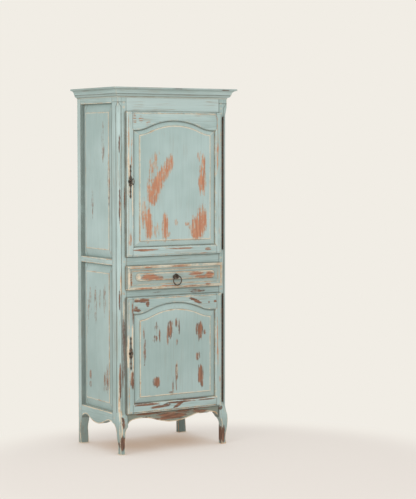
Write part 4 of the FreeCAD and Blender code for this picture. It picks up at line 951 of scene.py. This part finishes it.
for door in ("upper", "lower"):
    centre = pivots[door + "_door_swing"]
    x, y = centre[:2]
    tube_low, tube_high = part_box(door + "_door_knuckle")
    frame_low, frame_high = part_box(door + "_frame_hinge")
    tube = bmesh.new()
    knuckle(tube, centre, tube_low[2], tube_high[2])
    block(tube, (tube_low[0], y - leaf / 2, tube_low[2]), (x, y + leaf / 2, tube_high[2]))
    ironwork(door + "_hinge_tube", tube, door + "_door", [door + "_door_knuckle"])
    fixed = bmesh.new()
    for low, high in ((frame_low[2] + ball_height, tube_low[2] - knuckle_gap),
                      (tube_high[2] + knuckle_gap, frame_high[2] - ball_height)):
        knuckle(fixed, centre, low, high)
        block(fixed, (x - leaf / 2, y, low), (x + leaf / 2, frame_high[1], high))
    ball_end(fixed, centre, frame_high[2] - ball_height, 1)
    ball_end(fixed, centre, frame_low[2] + ball_height, -1)
    ironwork(door + "_hinge_post_half", fixed, "case", [door + "_frame_hinge"])
print("hinge tubes", round((tube_high[2] - tube_low[2]) * 1000), "mm tall")

# %% [markdown]
# ## The key and its plates
# The plates are cut from sheet iron in a waisted outline, filed along the rim and pinned
# to the stile. The CAD plate has the outline, so its copy gets a filed rim and domed pin
# heads.

# %% Plates with pins
pin_levels = (-0.079, -0.03, 0.03, 0.079)
pin_radius, pin_height, sunk = 0.0019, 0.0012, 0.0001


def pin_head(shape, x, y, z):
    """A small dome that stands on the plate."""
    turned(shape, arc(pin_radius, pin_height, 18, 6), (x, y, z), (0, -1, 0), 12)


for door in ("upper", "lower"):
    node = door + "_escutcheon"
    low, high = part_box(node)
    softened(node, iron, 0.0006)
    pins = bmesh.new()
    for level in pin_levels:
        pin_head(pins, (low[0] + high[0]) / 2, low[1] + sunk, (low[2] + high[2]) / 2 + level)
    ironwork(door + "_plate_pins", pins, door + "_door", [], 60)
print("pins at", pin_levels)

# %% [markdown]
# The key has an oval bow, forged from bar, and a turned shank with a collar where the bow
# meets it. The bow is a round hoop that is pressed to an oval, and the bit is a plain block.

# %% The key
key_low, key_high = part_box("upper_key")
key_x, key_z = (key_low[0] + key_high[0]) / 2, pivots["upper_key_turn"][2]
bow_tall, bow_deep, bow_wire = 0.034, 0.026, 0.0024
shank, neck, collar = 0.003, 0.0034, 0.0048
bit_half, bit_drop, bit_back, tip = 0.0011, 0.0085, 0.009, 0.001


def hoop(shape, centre, axis, radius, wire, across=16, steps=40):
    """A round bar bent to a ring: a small circle spun round the ring's axis."""
    centre, axis = Vector(centre), Vector(axis)
    out = axis.orthogonal().normalized()
    turn = Matrix((out, axis, out.cross(axis))).transposed().to_4x4()
    place = Matrix.Translation(centre + out * radius) @ turn
    section = bmesh.ops.create_circle(shape, segments=across, radius=wire, matrix=place)["verts"]
    edges = list({edge for spot in section for edge in spot.link_edges})
    spun(shape, section + edges, centre, axis, steps)


key = bmesh.new()
bow_y = key_low[1] + bow_deep / 2
hoop(key, (key_x, bow_y, key_z), (1, 0, 0), bow_tall / 2 - bow_wire, bow_wire)
pressed = (bow_deep / 2 - bow_wire) / (bow_tall / 2 - bow_wire)
bmesh.ops.scale(key, vec=(1, pressed, 1), verts=key.verts, space=Matrix.Translation((0, -bow_y, 0)))
shank_start = bow_y + bow_deep / 2 - 2 * bow_wire
reach = key_high[1] - shank_start
turned(key, [(0, 0), (shank, 0), (neck, 0.003), (collar, 0.005), (collar, 0.0065), (neck, 0.008),
             (shank, 0.01), (shank, reach - tip), (0.0022, reach), (0, reach)],
       (key_x, shank_start, key_z), (0, 1, 0))
block(key, (key_x - bit_half, key_high[1] - bit_back, key_z - bit_drop),
      (key_x + bit_half, key_high[1] - tip, key_z))
ironwork("upper_key_forged", key, "key", ["upper_key"])
print("key bow", bow_tall, "by", bow_deep)

# %% [markdown]
# ## The ring pull
# A forged ring hangs in an eye, and the eye stands on a small domed rosette. The ring is a
# bar that grows a little thicker towards its foot, where the hand pulls, so a plain hoop is
# made first and then its bar is thinned, least at the foot.

# %% The ring pull
ring_low, ring_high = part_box("pull_ring")
boss_low, boss_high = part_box("pull_boss")
eye_at = Vector(pivots["ring_swing"])
ring_wire = (ring_high[1] - ring_low[1]) / 2
ring_radius = (ring_high[2] - ring_low[2]) / 2 - ring_wire * 1.02
ring_middle = Vector((0, eye_at[1], (ring_low[2] + ring_high[2]) / 2))
mean_share, foot_gain = 0.86, 0.12

ring = bmesh.new()
hoop(ring, ring_middle, (0, 1, 0), ring_radius, ring_wire, steps=56)
for spot in ring.verts:
    outwards = spot.co - ring_middle
    outwards.y = 0
    outwards.normalize()
    core = ring_middle + outwards * ring_radius
    spot.co = core + (spot.co - core) * (mean_share - foot_gain * outwards.z)
ironwork("pull_ring_forged", ring, "ring", ["pull_ring"])
print("ring", round(2000 * (ring_radius + ring_wire)), "mm across")

# %% [markdown]
# Behind it is a thin plate with two pins, and on it a dome with the stalk of the eye, which
# is a small hoop. The plate is an oval whose rim is drawn in eight times.

# %% The plate behind the ring
plate_wide, plate_tall, plate_thick, lobe_depth = 0.0215, 0.0135, 0.0014, 0.12
dome_radius, dome_height, stalk, stalk_end, eye_wire = 0.0085, 0.004, 0.003, 0.01, 0.0021
face = boss_high[1]
boss = bmesh.new()
plate_level = eye_at[2] - 0.006
flat = Matrix.Translation((0, face, plate_level)) @ Matrix.Rotation(math.radians(90), 4, "X")
outline = bmesh.ops.create_circle(boss, cap_ends=True, segments=48, radius=1, matrix=flat)["verts"]
for spot in outline:
    around = math.atan2(spot.co.z - plate_level, spot.co.x)
    lobe = 1 - lobe_depth * math.cos(4 * around) ** 2
    spot.co = Vector((plate_wide * lobe * math.cos(around), face,
                      plate_level + plate_tall * lobe * math.sin(around)))
sheet = bmesh.ops.extrude_face_region(boss, geom=boss.faces[:])["geom"]
front = [v for v in sheet if isinstance(v, bmesh.types.BMVert)]
bmesh.ops.translate(boss, vec=(0, -plate_thick, 0), verts=front)
dome = arc(dome_radius, dome_height, 15, 6, foot=0.0012)
turned(boss, [(0, 0), (0.01, 0), (0.01, 0.0022), *dome, (0.0034, 0.0056), (stalk, 0.0075),
              (stalk, stalk_end), (0, stalk_end)], (0, face, eye_at[2]), (0, -1, 0), 32)
for side in (-1, 1):
    pin_head(boss, side * plate_wide * 0.72, face - plate_thick, plate_level)
hoop(boss, eye_at, (1, 0, 0), eye_at[1] - boss_low[1] - eye_wire, eye_wire, 14, 32)
ironwork("pull_rosette", boss, "drawer", ["pull_boss"])
print("plate", plate_wide * 2000, "by", plate_tall * 2000, "mm")

# %% [markdown]
# ## Floor and backdrop
# The cupboard stands on a wide pale floor. Close to it the floor is matt and keeps the
# shadow, and close under the cupboard a browner painted shadow is mixed into its colour.
# Further away it shows one even pale colour to the camera, the same as the room behind, so
# that no line shows between them.

# %% Floor and backdrop
pale_room, near_floor, painted_shadow_brown = tint(241, 237, 229), tint(237, 229, 221), tint(196, 166, 138)
floor_middle, near_end, far_start = (-0.1, -0.75, 0), 0.95, 1.55
even_share = 0.62


def seen(bench):
    """1 for light that is seen, also in a mirror, and 0 for light that falls on something."""
    path = bench.step("LightPath").outputs
    return bench.most(path["Is Camera Ray"], path["Is Glossy Ray"], path["Is Transmission Ray"])


def pale_floor():
    backdrop, bench, surface, place = new_finish("pale_floor", 0.1)
    surface.inputs["Base Color"].default_value = tint(222, 217, 211)
    surface.inputs["Roughness"].default_value = 0.9
    away = bench.vector("LENGTH", bench.vector("SUBTRACT", place, floor_middle))
    far = bench.band(away, near_end, far_start)
    # Painted shadow: where the cupboard shuts the floor in, its shown colour turns browner.
    under = bench.band(bench.shut_in(0.3), 0.14, 0.75)
    pale = bench.blend(far, bench.blend(under, near_floor, painted_shadow_brown), pale_room)
    even = bench.step("Emission", {"Color": pale, "Strength": 1.0})
    share = bench.times(bench.band(far, 0.0, 1.0, even_share, 1.0), seen(bench))
    mixed = bench.step("MixShader", {"Fac": share, 1: surface.outputs[0], 2: even.outputs[0]})
    bench.feed(backdrop.node_tree.nodes["Material Output"].inputs["Surface"], mixed.outputs[0])
    return backdrop


floor_shape = bmesh.new()
bmesh.ops.create_grid(floor_shape, x_segments=1, y_segments=1, size=30)
floor = shown("floor", floor_shape, pale_floor())
floor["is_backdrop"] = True
print("floor", floor.dimensions[:2])

# %% [markdown]
# ## Soft studio light
# One lamp stands in front, a very wide and strong one at the front left, and a weak one
# hangs above, for the soft shadow under the cupboard. The pale room fills the rest: it is
# brighter where it is seen than it is as a lamp, so that the background stays pale while
# the paint keeps its own colour.

# %% Soft studio light
def soft_lamp(name, place, aim_level, size, power):
    """A round lamp that looks at the middle of the cupboard, at a level."""
    data = bpy.data.lights.new(name, "AREA")
    data.shape = "DISK"
    data.size = size
    data.energy = power
    lamp = in_scene(name, data)
    lamp.location = place
    aim = Vector((0, 0, aim_level)) - Vector(place)
    lamp.rotation_euler = aim.to_track_quat("-Z", "Y").to_euler()


soft_lamp("front_lamp", (0.4, -5.2, 2.9), aim_level=0.9, size=1.4, power=44)
soft_lamp("side_lamp", (-4.2, -2.4, 2.6), aim_level=1.0, size=4.0, power=106)
soft_lamp("top_lamp", (-0.2, -0.5, 4.5), aim_level=0.6, size=2.4, power=30)

room_light, light_share = tint(250, 250, 250), 0.68
world = bpy.data.worlds.new("studio")
bpy.context.scene.world = world
world.use_nodes = True
bench = Bench(world.node_tree)
sky = world.node_tree.nodes["Background"]
in_sight = seen(bench)
bench.feed(sky.inputs["Color"], bench.blend(in_sight, room_light, pale_room))
bench.feed(sky.inputs["Strength"], bench.band(in_sight, 0.0, 1.0, light_share, 1.0))
bpy.context.scene.view_settings.view_transform = "Standard"

# %% Finish
low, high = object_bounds()
print("visual box", [round(v, 4) for v in (*low, *high)])
